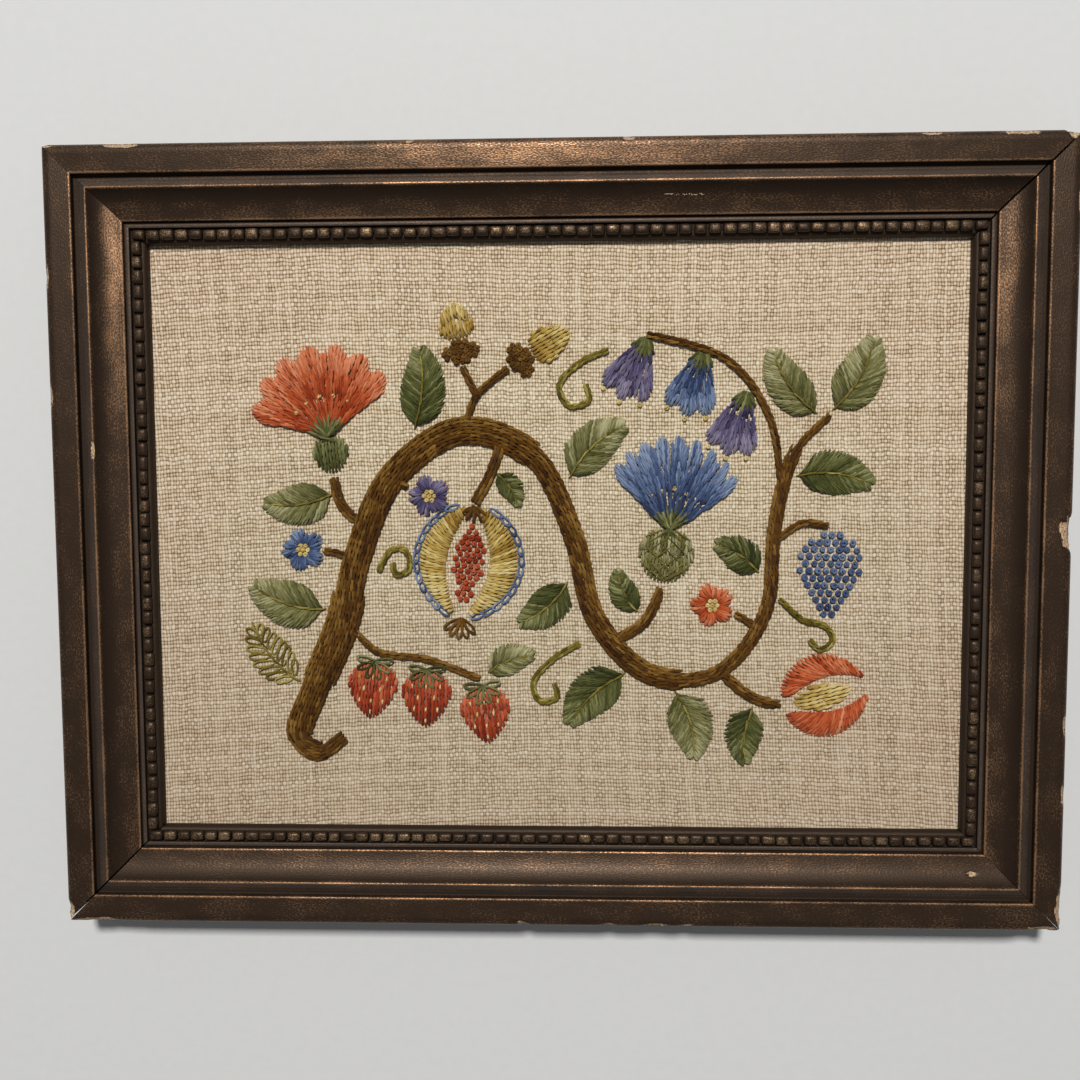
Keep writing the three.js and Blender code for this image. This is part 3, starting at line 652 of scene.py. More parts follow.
over = maths(tree, "SUBTRACT", 1.0, maths(tree, "MULTIPLY", parity, 2.0))
warp_lift = maths(tree, "MULTIPLY_ADD", maths(tree, "MULTIPLY", over, weft.wave), WARP_CRIMP, WARP_LEVEL)
weft_lift = maths(tree, "MULTIPLY_ADD", maths(tree, "MULTIPLY", over, warp.wave), -WEFT_CRIMP, WEFT_LEVEL)
warp_top = maths(tree, "MULTIPLY", warp.bulge, warp_lift)
weft_top = maths(tree, "MULTIPLY", weft.bulge, weft_lift)
tree.links.new(maths(tree, "MAXIMUM", warp_top, weft_top), put["Height"])
weft_shows = maths(tree, "GREATER_THAN", weft_top, warp_top)
warp_tone = maths(tree, "MULTIPLY", warp.chance, maths(tree, "SUBTRACT", 1.0, weft_shows))
thread_tone = maths(tree, "ADD", warp_tone, maths(tree, "MULTIPLY", weft.chance, weft_shows))
crossing = add(tree, "ShaderNodeCombineXYZ", {0: warp.number, 1: weft.number}).outputs[0]
float_chance = add(tree, "ShaderNodeTexWhiteNoise", {"Vector": crossing}, noise_dimensions="2D")
half_tone = maths(tree, "MULTIPLY", thread_tone, 0.5)
tree.links.new(maths(tree, "MULTIPLY_ADD", float_chance.outputs["Value"], 0.5, half_tone), put["Tone"])
print("plain weave:", len(tree.nodes), "nodes")

# %% [markdown]
# The cloth's colour comes from the height of the weave, with light and shade painted in: a pale painted
# highlight on the floats, beige on the slopes, brown painted shade in the holes between threads. The
# cloth is also uneven over its width, rosier near the frame and yellower in the middle, and it is
# painted darker towards its lower edge, a painted shade for the light falling off across it.

# %% Linen
FALLOFF_SHADE_TONE = srgb(132, 116, 96)
WEAVE_SHADED_TONES = (srgb(52, 40, 28), srgb(154, 132, 106), srgb(228, 209, 182), srgb(255, 248, 232))
LINEN_STOPS = (0.08, 0.33, 0.6, 1.0)
LINEN_WASHES = (srgb(255, 250, 232), srgb(250, 236, 222))
TONE_SHARE, SUNK = 0.34, 0.17

linen, tree, shader = finish_of("linen")
place = object_place(tree)
weave_map = run_place(tree)
wobble = add(tree, "ShaderNodeTexNoise", {"Vector": weave_map, "Scale": 0.22, "Detail": 4.0}).outputs["Color"]
wobble = vectors(tree, "MULTIPLY", wobble, (1.3, 1.3, 0))
weave_place = vectors(tree, "ADD", weave_map, wobble)
weave = add(tree, "ShaderNodeGroup", {}, node_tree=plain_weave)
tree.links.new(weave_place, weave.inputs["Place"])
sunk = maths(tree, "SUBTRACT", weave.outputs["Height"], SUNK)
level = maths(tree, "MULTIPLY_ADD", weave.outputs["Tone"], TONE_SHARE, sunk)
# Painted light and shade: the weave's height picks the colour, pale on the thread crowns, dark in the holes.
ramp = add(tree, "ShaderNodeValToRGB", {"Fac": level})
for stop, colour in zip(LINEN_STOPS, WEAVE_SHADED_TONES):
    spot = ramp.color_ramp.elements.new(stop)
    spot.color = colour
ramp.color_ramp.elements.remove(ramp.color_ramp.elements[0])
middle = vectors(tree, "MULTIPLY", place, (9.5, 13.5, 0))
rim = step(tree, vectors(tree, "LENGTH", middle, output="Value"), 0.35, 1.15)
patchy = maths(tree, "MULTIPLY", rim, maths(tree, "MULTIPLY_ADD", noise(tree, place, 28.0, 3.0), 0.8, 0.35))
cloth = blend(tree, 1.0, ramp.outputs["Color"], blend(tree, patchy, *LINEN_WASHES), "MULTIPLY")
# Painted shade: the cloth is darkened towards its lower edge for the light falling off across it.
height_on_panel = add(tree, "ShaderNodeSeparateXYZ", {0: place}).outputs["Y"]
painted_falloff = step(tree, height_on_panel, -0.075, 0.06, 0.26, 0.0)
tree.links.new(blend(tree, painted_falloff, cloth, FALLOFF_SHADE_TONE), shader["Base Color"])
shader["Roughness"].default_value = 0.9
shader["Sheen Weight"].default_value = 0.1
emboss(tree, shader, weave.outputs["Height"], 0.7, 0.2)
print("linen:", len(tree.nodes), "nodes")

# %% [markdown]
# The sheet itself is a grid with a slight quilting from the pull of the stitches. A short table says
# how the weft rises and how the warp leans along the near and the far edge of the cloth. Between the
# edges the slopes are blended, and adding them up over the width or the height gives how far a thread
# has strayed.

# %% The linen panel
WARP_PITCH, WEFT_PITCH = 0.70, 0.94
CLOTH_THICKNESS = 0.5
Stray = namedtuple("Stray", "x near_rise far_rise near_lean far_lean")
STRAYS = [Stray(*row) for row in (
    (-85, 0.085, 0.05, -0.005, 0.06), (-58, 0.088, 0.03, 0.0, 0.05), (-34, 0.067, -0.045, 0.0, 0.035),
    (-12, 0.043, -0.045, 0.03, 0.01), (18, -0.04, -0.02, 0.07, -0.02), (50, -0.035, 0.03, 0.08, -0.03),
    (85, -0.078, 0.04, 0.085, -0.015),
)]
CLOTH_STEP = 1.6

panel_low, panel_high = box_mm("linen_panel")
LINEN_TOP = panel_high[2]
flat_width, flat_height = (panel_high - panel_low)[:2]
columns = np.linspace(panel_low[0], panel_high[0], int(flat_width / CLOTH_STEP))
rows = np.linspace(panel_low[1], panel_high[1], int(flat_height / CLOTH_STEP))
cloth_x, cloth_y = np.meshgrid(columns, rows, indexing="ij")
broad, fine = (value_noise(cloth_x, cloth_y, cell, seed) - 1.0 for cell, seed in ((13.0, 5), (5.0, 6)))
quilting = 0.16 * broad + 0.05 * fine
cloth_points = np.stack([cloth_x, cloth_y, LINEN_TOP + quilting], -1).reshape(-1, 3)
reach, *slopes = np.array(STRAYS).T
near_rise, far_rise, near_lean, far_lean = (np.interp(columns, reach, row)[:, None] for row in slopes)
far_share = (cloth_y - panel_low[1]) / flat_height
bow = np.cumsum(near_rise + (far_rise - near_rise) * far_share, axis=0) * (columns[1] - columns[0])
lean = np.cumsum(near_lean + (far_lean - near_lean) * far_share, axis=1) * (rows[1] - rows[0])
warps, wefts = (cloth_x - panel_low[0] + lean) / WARP_PITCH, (cloth_y - panel_low[1] - bow) / WEFT_PITCH
thread_map = np.stack([warps, wefts], -1).reshape(-1, 2)
quads = grid_quads(len(columns), len(rows), False)
faces = Faces(quads.ravel(), np.full(len(quads), 4))
linen_panel = mesh_piece(
    "linen_cloth", cloth_points, faces, linen, ["linen_panel"], uv=thread_map[faces.corners],
)
thick = linen_panel.modifiers.new("thickness", "SOLIDIFY")
thick.thickness = CLOTH_THICKNESS * MM
thick.offset = -1.0
print("linen of", flat_width.round(1), "x", flat_height.round(1), "mm")

# %% [markdown]
# Crewel wool is a loose two-ply yarn. A stitch is a path that comes up out of the cloth, rises over the
# padding of the stitches under it, and goes back down. Around the path run two plies, twisted slowly
# about each other, each a thin tube. A ring of a tube lies in the plane of two directions: sideways,
# which is the path's direction crossed with up, and the direction crossed with that.

# %% Yarn
Stitch = namedtuple("Stitch", "path radius shade")
STITCH_SHARES = np.array([0.0, 0.06, 0.18, 0.34, 0.5, 0.66, 0.82, 0.94, 1.0])
SINK = 0.35
PLIES = 2
PLY_SIDES = 5
PLY_SHARE = 0.62
TWIST_LENGTH, TWIST_REACH, TWIST_FLATNESS = 4.2, 1.2, 0.6
PLY_TONE, PLY_LANE = 0.12, 1.7


def unit(vectors):
    return vectors / np.maximum(np.linalg.norm(vectors, axis=-1, keepdims=True), 1e-9)


def yarn_points(stitch, random):
    """Plies of every stitch: ring point = path + twist + radius * (cosine * sideways + sine * upright)."""
    path, radius = stitch.path, stitch.radius[..., None]
    count = len(path)
    direction = unit(np.gradient(path, axis=1))
    sideways = unit(np.cross(direction, [0.0, 0.0, 1.0]))
    upright = np.cross(sideways, direction)
    run = np.cumsum(np.linalg.norm(np.diff(path, axis=1, prepend=path[:, :1]), axis=-1), axis=1)
    phase = random.uniform(0, 2 * np.pi, (count, 1)) + 2 * np.pi * run / TWIST_LENGTH
    angle = np.linspace(0, 2 * np.pi, PLY_SIDES, endpoint=False)
    rings = []
    for ply in range(PLIES):
        turn = (phase + 2 * np.pi * ply / PLIES)[..., None]
        wind = np.cos(turn) * sideways + TWIST_FLATNESS * np.sin(turn) * upright
        middle = path + radius * (1 - PLY_SHARE) * TWIST_REACH * wind
        spoke = np.cos(angle)[:, None] * sideways[:, :, None] + np.sin(angle)[:, None] * upright[:, :, None]
        rings.append(middle[:, :, None] + PLY_SHARE * radius[:, :, None] * spoke)
    return np.stack(rings, 1), run


def yarn_uv(run, steps):
    """Map of the plies: across, once around the ply; upwards, millimetres along it."""
    quads = grid_quads(steps, PLY_SIDES, True)
    ring, around = np.divmod(quads, PLY_SIDES)
    around = np.where((around == 0) & (np.arange(4) >= 2), PLY_SIDES, around) / PLY_SIDES
    along = np.repeat(run, PLIES, axis=0)[:, ring]
    lane = np.arange(len(along))[:, None, None] * PLY_LANE
    body = np.stack(np.broadcast_arrays(around + lane, along), -1).reshape(-1, 2)
    return np.concatenate([body, np.zeros((len(along) * 2 * PLY_SIDES, 2))])


def yarn_piece(name, stitches, slot, nodes=(), seed=0):
    """Join groups of stitches, of whatever length, into one piece of that yarn."""
    random = np.random.default_rng(900 + seed)
    points, corners, sizes, uvs, shades, first = [], [], [], [], [], 0
    for stitch in stitches:
        rings, run = yarn_points(stitch, random)
        count, _, steps = rings.shape[:3]
        faces = tube_faces(count * PLIES, steps, PLY_SIDES)
        points.append(rings.reshape(-1, 3))
        corners.append(faces.corners + first)
        sizes.append(faces.sizes)
        uvs.append(yarn_uv(run, steps))
        ply_tone = PLY_TONE * random.standard_normal((count, PLIES, 1, 1))
        shades.append(np.broadcast_to(stitch.shade[:, None, :, None] + ply_tone, rings.shape[:-1]).ravel())
        first += len(points[-1])
    faces = Faces(np.concatenate(corners), np.concatenate(sizes))
    marks = {"shade": np.concatenate(shades)}
    return mesh_piece(
        name, np.concatenate(points), faces, WOOL[slot], nodes, np.concatenate(uvs), marks,
    )


print("yarn of", PLIES, "plies,", PLY_SIDES, "sides each")

# %% [markdown]
# All yarns share one effect: the stitch's own shade, streaked along the ply by its fibres and slowly
# varied over the cloth, as a hand-dyed skein is. Each colour family then turns that shade into its own
# row of dyes, dark to light.

# %% Wool finishes
wool_fibre, given, put = effect("wool_fibre", {"Shade": VALUE}, {"Shade": VALUE, "Height": VALUE})
tree = wool_fibre
streak = noise(tree, vectors(tree, "MULTIPLY", run_place(tree), (7.0, 0.9, 1.0)), 1.0, 3.0)
skein = noise(tree, object_place(tree), 260.0, 2.0)
fuzz = noise(tree, object_place(tree), 5200.0, 2.0)
tone = maths(tree, "MULTIPLY_ADD", streak, 0.8, maths(tree, "SUBTRACT", given["Shade"], 0.4))
tone = maths(tree, "MULTIPLY_ADD", skein, 0.3, maths(tree, "SUBTRACT", tone, 0.15))
tree.links.new(tone, put["Shade"])
tree.links.new(maths(tree, "MULTIPLY_ADD", fuzz, 0.5, streak), put["Height"])

DYES = {
    "wool_brown": (srgb(60, 32, 3), srgb(100, 64, 12), srgb(146, 108, 46)),
    "wool_olive": (srgb(78, 66, 12), srgb(124, 108, 36), srgb(176, 160, 84)),
    "wool_sage": (srgb(80, 80, 38), srgb(128, 124, 76), srgb(186, 180, 136)),
    "wool_green": (srgb(50, 54, 20), srgb(90, 92, 46), srgb(150, 148, 98)),
    "wool_coral": (srgb(150, 54, 18), srgb(196, 94, 50), srgb(226, 148, 106)),
    "wool_rust": (srgb(124, 34, 8), srgb(174, 68, 32), srgb(210, 118, 82)),
    "wool_gold": (srgb(150, 110, 30), srgb(202, 172, 92), srgb(236, 216, 154)),
    "wool_blue": (srgb(48, 60, 92), srgb(84, 102, 138), srgb(144, 158, 182)),
    "wool_lavender": (srgb(62, 54, 86), srgb(100, 90, 122), srgb(150, 140, 160)),
}


def wool_finish(name, dyes):
    """A yarn's finish: the shared fibre effect, its own three dyes, and the soft sheen of wool."""
    material, tree, shader = finish_of(name)
    fibre = add(tree, "ShaderNodeGroup", {}, node_tree=wool_fibre)
    tree.links.new(mark(tree, "shade"), fibre.inputs["Shade"])
    ramp = add(tree, "ShaderNodeValToRGB", {"Fac": fibre.outputs["Shade"]})
    middle = ramp.color_ramp.elements.new(0.5)
    for spot, colour in zip((ramp.color_ramp.elements[0], middle, ramp.color_ramp.elements[-1]), dyes):
        spot.color = colour
    tree.links.new(ramp.outputs["Color"], shader["Base Color"])
    shader["Roughness"].default_value = 0.85
    shader["Specular IOR Level"].default_value = 0.15
    shader["Sheen Weight"].default_value = 0.08
    shader["Sheen Roughness"].default_value = 0.5
    emboss(tree, shader, fibre.outputs["Height"], 0.5, 0.1)
    return material


WOOL = {name: wool_finish(name, dyes) for name, dyes in DYES.items()}
print("yarns:", ", ".join(WOOL))

# %% [markdown]
# Three kinds of stitch make nearly all of the work. A traced stitch follows any line on the cloth, a
# straight one goes from point to point, and a knot winds round itself. All take arrays, one row for
# each stitch.

# %% Stitches
WOOL_RADIUS = 0.46
WOOL_PITCH = 0.8
STITCH_TONE, KNOT_TONE, COIL_HIGHLIGHT = 0.16, 0.09, 0.12
KNOT_STEPS, LOOP_STEPS = 15, 13
KNOT_FOOT, KNOT_RISE = 0.1, 0.75
random = np.random.default_rng(31)


def beside(run):
    """Directions a quarter turn to the left of each run (N, 2)."""
    return unit(np.stack([-run[:, 1], run[:, 0]], -1))


def traced(line, rise, shade, radius=WOOL_RADIUS):
    """Stitches along lines (N, K, 2): height = rise * (1 - |2t - 1| cubed), from under the cloth and back."""
    share = np.linspace(0, 1, line.shape[1]) if line.shape[1] != len(STITCH_SHARES) else STITCH_SHARES
    hump = 1 - np.abs(2 * share - 1) ** 3
    count = len(line)
    height = LINEN_TOP - SINK + (np.broadcast_to(rise, (count,))[:, None] + SINK) * hump
    thick = radius * (0.7 + 0.3 * hump) * (1 + 0.07 * random.standard_normal((count, 1)))
    shade = np.asarray(shade, float).reshape(count, -1) if np.ndim(shade) else shade
    tone = np.broadcast_to(shade, height.shape) + STITCH_TONE * random.standard_normal((count, 1))
    return Stitch(np.concatenate([line, height[..., None]], -1), np.broadcast_to(thick, height.shape), tone)


def straight(start, end, rise, shade, radius=WOOL_RADIUS, bow=0.0):
    """Stitches from start to end (N, 2), bowed sideways by bow * 4t(1 - t)."""
    t = STITCH_SHARES[None, :, None]
    run = end - start
    aside = beside(run)[:, None] * bow
    return traced(start[:, None] + run[:, None] * t + aside * 4 * t * (1 - t), rise, shade, radius)


def knots(centre, shade, size=0.5, radius=0.33, turns=1.7):
    """French knots: a coil of yarn that winds inward and upward about each centre (N, 2)."""
    t = np.linspace(0, 1, KNOT_STEPS)
    count = len(centre)
    angle = random.uniform(0, 2 * np.pi, (count, 1)) + 2 * np.pi * turns * t
    wide = size * (1 - 0.45 * t) * (1 + 0.1 * random.standard_normal((count, 1)))
    height = LINEN_TOP + KNOT_FOOT + KNOT_RISE * t + 0.06 * random.standard_normal((count, 1))
    path = np.stack([centre[:, :1] + wide * np.cos(angle), centre[:, 1:] + wide * np.sin(angle), height], -1)
    tone = np.broadcast_to(shade, (count,))[:, None] + KNOT_TONE * random.standard_normal((count, 1))
    # Painted highlight: the upper turns of each knot are lighter.
    tone = tone + COIL_HIGHLIGHT * (t - 0.5)
    return Stitch(path, np.full((count, len(t)), radius), tone)


def loops(base, tip, width, shade, radius=0.3, rise=0.5):
    """Chain or daisy loops: along = (1 - cos 2 pi t) / 2, aside = sine * half the width, pinched below."""
    t = np.linspace(0, 1, LOOP_STEPS)[None, :, None]
    run = tip - base
    aside = beside(run)[:, None]
    swell = np.sin(2 * np.pi * t) * np.abs(np.sin(np.pi * t)) ** 0.5
    line = base[:, None] + run[:, None] * (1 - np.cos(2 * np.pi * t)) / 2 + aside * (width / 2) * swell
    return traced(line, rise, shade, radius)


print("stitches of", 2 * WOOL_RADIUS, "mm yarn")

# %% [markdown]
# Stems are rows of stem stitch: short stitches along the line, each starting halfway along the last one
# and lying a little aslant. The line is a smooth curve through a few points, and rows are kept where
# the stem is wide enough.

# %% Stems
Stem = namedtuple("Stem", "root belly tip route")
BELLY_AT = 0.22
MIDWAY = len(STITCH_SHARES) // 2
STEM_LIGHT, STEM_SPREAD = 0.5, 0.27
STEM_ROUTE = (
    (-50, -46.5), (-55.5, -50), (-60.5, -46), (-57, -36), (-50, -20), (-46, -4), (-38, 14), (-22, 25),
    (-5, 19), (4, 1), (9, -18), (21, -31), (37, -31), (48, -17), (50, 3), (54, 19), (62, 28),
)
VINE = [Stem(*row) for row in (
    (3.0, 7.8, 2.2, STEM_ROUTE),
    (2.4, 2.4, 1.8, ((-43.5, 2), (-49.5, 8), (-51.2, 14.2))),
    (2.4, 2.4, 1.8, ((-12, 23.5), (-15, 15), (-18.5, 8.6))),
    (2.4, 2.4, 1.8, ((12, -24), (20, -19.5), (24.2, -11.6))),
    (2.4, 2.4, 1.8, ((38, -31), (45, -36.5), (51.6, -38.6))),
    (2.0, 2.0, 1.2, ((51.5, 11), (48.5, 28), (38.5, 41), (21, 46.5))),
    (2.0, 2.0, 1.2, ((-49, -18), (-42, -26), (-30, -28), (-18, -32.5))),
    (2.0, 2.0, 1.3, ((-21, 25), (-18, 33), (-11, 39))),
    (1.4, 1.4, 1.2, ((-18, 33), (-20, 37), (-21, 39.5))),
    (2.0, 2.0, 1.3, ((49.5, -1), (56, 3.5), (62, 3))),
    (1.6, 1.6, 1.2, ((-46, -6), (-50, -3.4), (-53.6, -2.6))),
    (1.6, 1.6, 1.2, ((46, -20.5), (43.5, -18.6), (41.4, -17.4))),
    (1.6, 1.6, 1.2, ((-38, 14), (-36.2, 13.2), (-34.4, 12.2))),
)]
TENDRILS = {
    "tendril_a": ((-41.2, -7.4), (-38.4, -2.6), (-34.8, -2.6), (-34, -6.8), (-37.2, -8.2), (-37.8, -5.6)),
    "tendril_b": ((5.3, -24.3), (-0.6, -27.8), (-5.2, -33), (-4, -37.6), (0, -37), (-0.4, -33.8)),
    "tendril_c": ((51.5, -14), (56.5, -18.6), (61.5, -20), (63.6, -23.4), (60.6, -25.6), (58.4, -23.4)),
    "tendril_d": ((12, 43), (6, 40.5), (1, 35.5), (3, 30.6), (7.5, 31.6), (7, 35.2)),
}


def spline(route, steps=240):
    """A smooth line through points: between two a cubic, whose slopes are half the step to the neighbours."""
    p = np.array(route, float)
    p = np.concatenate([p[:1], p, p[-1:]])
    at = np.linspace(0, len(route) - 1, steps)
    i = np.minimum(at.astype(int), len(route) - 2)
    t = (at - i)[:, None]
    a, b, c, d = p[i], p[i + 1], p[i + 2], p[i + 3]
    return b + 0.5 * t * (c - a + t * (2 * a - 5 * b + 4 * c - d + t * (3 * (b - c) + d - a)))


def stem_line(stem):
    """Points along the middle of a stem, and its width at each of them."""
    line = spline(stem.route)
    share = np.linspace(0, 1, len(line))
    return line, np.interp(share, [0, BELLY_AT, 1], [stem.root, stem.belly, stem.tip])


def stem_stitches(stem, pitch=0.8, length=5.2, rise=0.8, radius=WOOL_RADIUS, trunk=None):
    """Rows beside the line; a stitch runs from s to s + length and drifts aside by a third of a row."""
    line, width = stem_line(stem)
    run = np.concatenate([[0], np.cumsum(np.linalg.norm(np.diff(line, axis=0), axis=1))])
    aside = beside(np.gradient(line, axis=0))
    count = max(1, int(round(width.max() / pitch)))
    lane = (np.arange(count) - (count - 1) / 2) * pitch
    starts = np.arange(-0.3 * length, run[-1] - 0.4 * length, length * 0.46)
    start = starts[None] + random.uniform(-0.4, 0.4, (count, len(starts)))
    s = np.clip(start[..., None] + length * STITCH_SHARES, 0, run[-1])
    half = np.interp(s, run, width) / 2
    off = lane[:, None, None] * np.ones_like(s)
    keep = (np.abs(off) < half[..., MIDWAY, None] - 0.12).all(-1) | (np.abs(off[..., 0]) < 0.5 * pitch)
    if trunk is not None:
        cover, cover_width = stem_line(trunk)
        at = np.stack([np.interp(s[..., MIDWAY], run, line[:, i]) for i in range(2)], -1)
        keep &= (np.linalg.norm(at[:, :, None] - cover, axis=-1) - cover_width / 2).min(-1) > -0.5
    off = off + (STITCH_SHARES - 0.5) * 0.34 * pitch
    xy = [np.interp(s, run, line[:, i]) + off * np.interp(s, run, aside[:, i]) for i in range(2)]
    drawn = np.stack(xy, -1)[keep]
    off, half = off[..., MIDWAY][keep], half[..., MIDWAY][keep]
    tone = STEM_LIGHT + STEM_SPREAD * (off / np.maximum(half, 0.3))
    dome = np.sqrt(np.clip(1 - (off / np.maximum(half, 0.4)) ** 2, 0, 1))
    return traced(drawn, rise * (0.75 + 0.45 * dome), tone[:, None], radius)


trunk, *branches = VINE
vine = [stem_stitches(trunk)] + [stem_stitches(stem, trunk=trunk) for stem in branches]
yarn_piece("stitched_vine", vine, "wool_brown", ["vine"], 1)
for seed, (name, route) in enumerate(TENDRILS.items()):
    curl = stem_stitches(Stem(1.3, 1.3, 1.0, route), 0.66, 3.4, 0.6, 0.4)
    yarn_piece(f"stitched_{name}", [curl], "wool_olive", [name], 2 + seed)
print("vine of", len(VINE), "stems,", len(TENDRILS), "tendrils")

# %% [markdown]
# Leaves, petals, husks and fruits are blades: shapes about a bowed axis, whose half width at a share t
# of the length is t to one power times 1 - t to another, scaled to the width. One function turns a
# share and a distance aside into a place on the cloth, and every filling below is drawn with it.

# %% Blades
Blade = namedtuple("Blade", "name ends x y heading length width bow")
ENDS = {
    "leaf": (0.6, 0.9), "petal": (0.6, 0.8), "husk": (0.6, 0.7), "seed": (0.5, 0.6), "berry": (0.42, 0.75),
    "nut": (0.3, 0.6), "cup": (0.4, 0.25), "calyx": (0.5, 0.4),
}


def blade_half(blade, t):
    """Half width of a blade at share t of its length."""
    near, far = ENDS[blade.ends]
    widest = near / (near + far)
    t = np.clip(t, 0, 1)
    return blade.width / 2 * (t ** near * (1 - t) ** far) / (widest ** near * (1 - widest) ** far)


def blade_place(blade, t, aside):
    """The place at share t of the axis and a distance aside of it, turned to the blade's heading."""
    slope = blade.bow * 4 * (1 - 2 * t)
    long = np.sqrt(1 + slope ** 2)
    x = t * blade.length - aside * slope / long
    y = blade.bow * blade.length * 4 * t * (1 - t) + aside / long
    return np.stack(turned(x, y, blade.heading, (blade.x, blade.y)), -1)


def fishbone(blade, slant=0.9, rise=0.85, light=0.4):
    """Leaf filling: from past the midrib out and forwards to the edge, on each side, paler to the tip."""
    count = int(blade.length / (WOOL_PITCH * 0.8))
    made = []
    for side in (1, -1):
        t = np.linspace(0.0, 0.86, count) + 0.3 / count * (side > 0)
        ahead = np.clip(t + slant * blade_half(blade, t + 0.1) / blade.length + 0.03, 0, 0.995)
        edge = blade_half(blade, ahead) + 0.12 * random.standard_normal(count)
        start = blade_place(blade, t, -0.22 * side * np.ones(count))
        end = blade_place(blade, ahead, side * edge)
        fade = np.linspace(0, 1, len(STITCH_SHARES))[None] * 0.3
        tone = light - 0.3 + 0.6 * t[:, None] + fade + 0.08 * side
        made.append(straight(start, end, rise, tone, bow=0.12 * side))
    return made


def midrib(blade, reach=0.8):
    """A line of stem stitch up the axis of a leaf."""
    count = max(3, int(blade.length * reach / 2.6))
    t = np.linspace(-0.05, reach - 0.2, count)
    start = blade_place(blade, t, np.full(count, -0.12))
    end = blade_place(blade, t + 0.2 + 1.2 / blade.length, np.full(count, 0.12))
    return straight(start, end, 1.0, 0.55, radius=0.27)


def along_satin(blade, bands, rise=0.8, shades=(0.25, 0.75)):
    """Stitches side by side along the axis, from edge to edge of the blade, broken raggedly into bands."""
    widest = blade.width / 2 - 0.2
    count = max(3, int(2 * widest / (WOOL_PITCH * 0.95)) + 1)
    aside = np.linspace(-widest, widest, count)
    shares = np.linspace(0, 1, 160)
    inside = blade_half(blade, shares)[None] >= np.abs(aside)[:, None]
    first, last = shares[inside.argmax(1)], shares[::-1][inside[:, ::-1].argmax(1)]
    made = []
    for number in range(bands):
        overlap = (0.10 if number == 0 else 0.06) * np.array([-1, 1])
        cut = np.clip(np.array([number, number + 1]) / bands + overlap, 0, 1)
        ragged = np.array([number > 0, number < bands - 1])
        cut = cut[:, None] + 0.07 * random.standard_normal((2, count)) * ragged[:, None]
        near, far = first + (last - first) * cut
        t = near[:, None] + (far - near)[:, None] * STITCH_SHARES
        line = blade_place(blade, t, aside[:, None] * np.ones_like(t))
        dome = rise * (0.7 + 0.4 * np.sqrt(1 - (aside / blade.width * 1.9) ** 2)) + 0.06 * number
        made.append(traced(line, dome, shades[0] + (shades[1] - shades[0]) * t))
    return made


def across_satin(blade, slant=0.3, rise=0.9, shades=(0.3, 0.7)):
    """Stitches side by side from one edge of the blade to the other, slanting forwards."""
    count = int(blade.length / (WOOL_PITCH * 0.9))
    t = np.linspace(0.03, 0.97, count)
    lean = slant * blade_half(blade, t) / blade.length
    left, right = np.clip(t - lean, 0.005, 0.995), np.clip(t + lean, 0.005, 0.995)
    start = blade_place(blade, left, blade_half(blade, left))
    end = blade_place(blade, right, -blade_half(blade, right))
    tone = shades[0] + (shades[1] - shades[0]) * t[:, None] + 0.16 * (STITCH_SHARES - 0.5)
    return [straight(start, end, rise, tone)]


def knot_fill(blade, shades=(0.35, 0.65), gap=1.5, margin=0.55, size=0.5):
    """French knots on a staggered grid inside the blade."""
    row, column = np.meshgrid(np.arange(40), np.arange(-20, 21), indexing="ij")
    t = ((row + 0.5) * gap * 0.87 / blade.length).ravel()
    aside = ((column + 0.5 * (row % 2)) * gap).ravel()
    inside = (t < 1) & (np.abs(aside) < blade_half(blade, t) - margin * 0.6)
    t, aside = t[inside], aside[inside] + 0.1 * random.standard_normal(inside.sum())
    tone = shades[0] + (shades[1] - shades[0]) * t
    return [knots(blade_place(blade, t, aside), tone, size)]


print("fillings ready for", len(ENDS), "kinds of blade")

# %% [markdown]
# The leaves come first: two rows of slanting stitches that meet at a midrib, which is worked over them
# in olive.

# %% Leaves
LEAVES = {
    "wool_sage": (
        ("leaf_a", -54.6, -16.4, 158, 19, 11, 0.1), ("leaf_c", 3.4, 14.8, 40, 18.5, 10.4, 0.1),
        ("leaf_f", 28, -36, 282, 17, 10.4, 0.1), ("leaf_i", 63.4, 29.8, 64, 19.5, 10.8, -0.1),
        ("leaf_j", 58.6, 28.8, 122, 18.5, 9.6, 0.1), ("leaf_k", -52.2, 10.2, 184, 17, 9.6, 0.1),
        ("leaf_m", -15.6, -30.8, 18, 12, 7.2, 0.1),
    ),
    "wool_green": (
        ("leaf_b", -32.2, 26.2, 88, 19.5, 10.4, -0.08), ("leaf_d", 2.4, -10.6, 217, 15.5, 9, 0.1),
        ("leaf_e", 46.2, -7.4, 150, 12.5, 8, -0.1), ("leaf_g", 15.2, -31.6, 226, 18.5, 10.6, -0.1),
        ("leaf_h", 55.6, 14.6, 350, 18, 10.4, 0.1), ("leaf_l", 45.2, -39.6, 266, 14, 8.8, -0.1),
        ("leaf_n", 18.4, -16.6, 112, 11, 6.6, 0.1), ("leaf_p", -13.2, 15, 300, 9.4, 5.6, 0.1),
    ),
}
ribs = []
for slot, leaf_rows in LEAVES.items():
    for row in leaf_rows:
        leaf = Blade(row[0], "leaf", *row[1:])
        yarn_piece(f"stitched_{leaf.name}", fishbone(leaf), slot, [leaf.name], len(ribs) + 10)
        ribs.append(midrib(leaf))
yarn_piece("leaf_midribs", ribs, "wool_olive", seed=40)
fern = Blade("fern", "leaf", -60.6, -33, 128, 17, 9.6, 0.08)
fern_t = np.repeat(np.linspace(0.06, 0.8, 8), 2)
fern_side = np.tile([1.0, -1.0], 8)
fern_tip = blade_place(fern, fern_t + 0.16, fern_side * blade_half(fern, np.clip(fern_t + 0.08, 0.1, 0.9)))
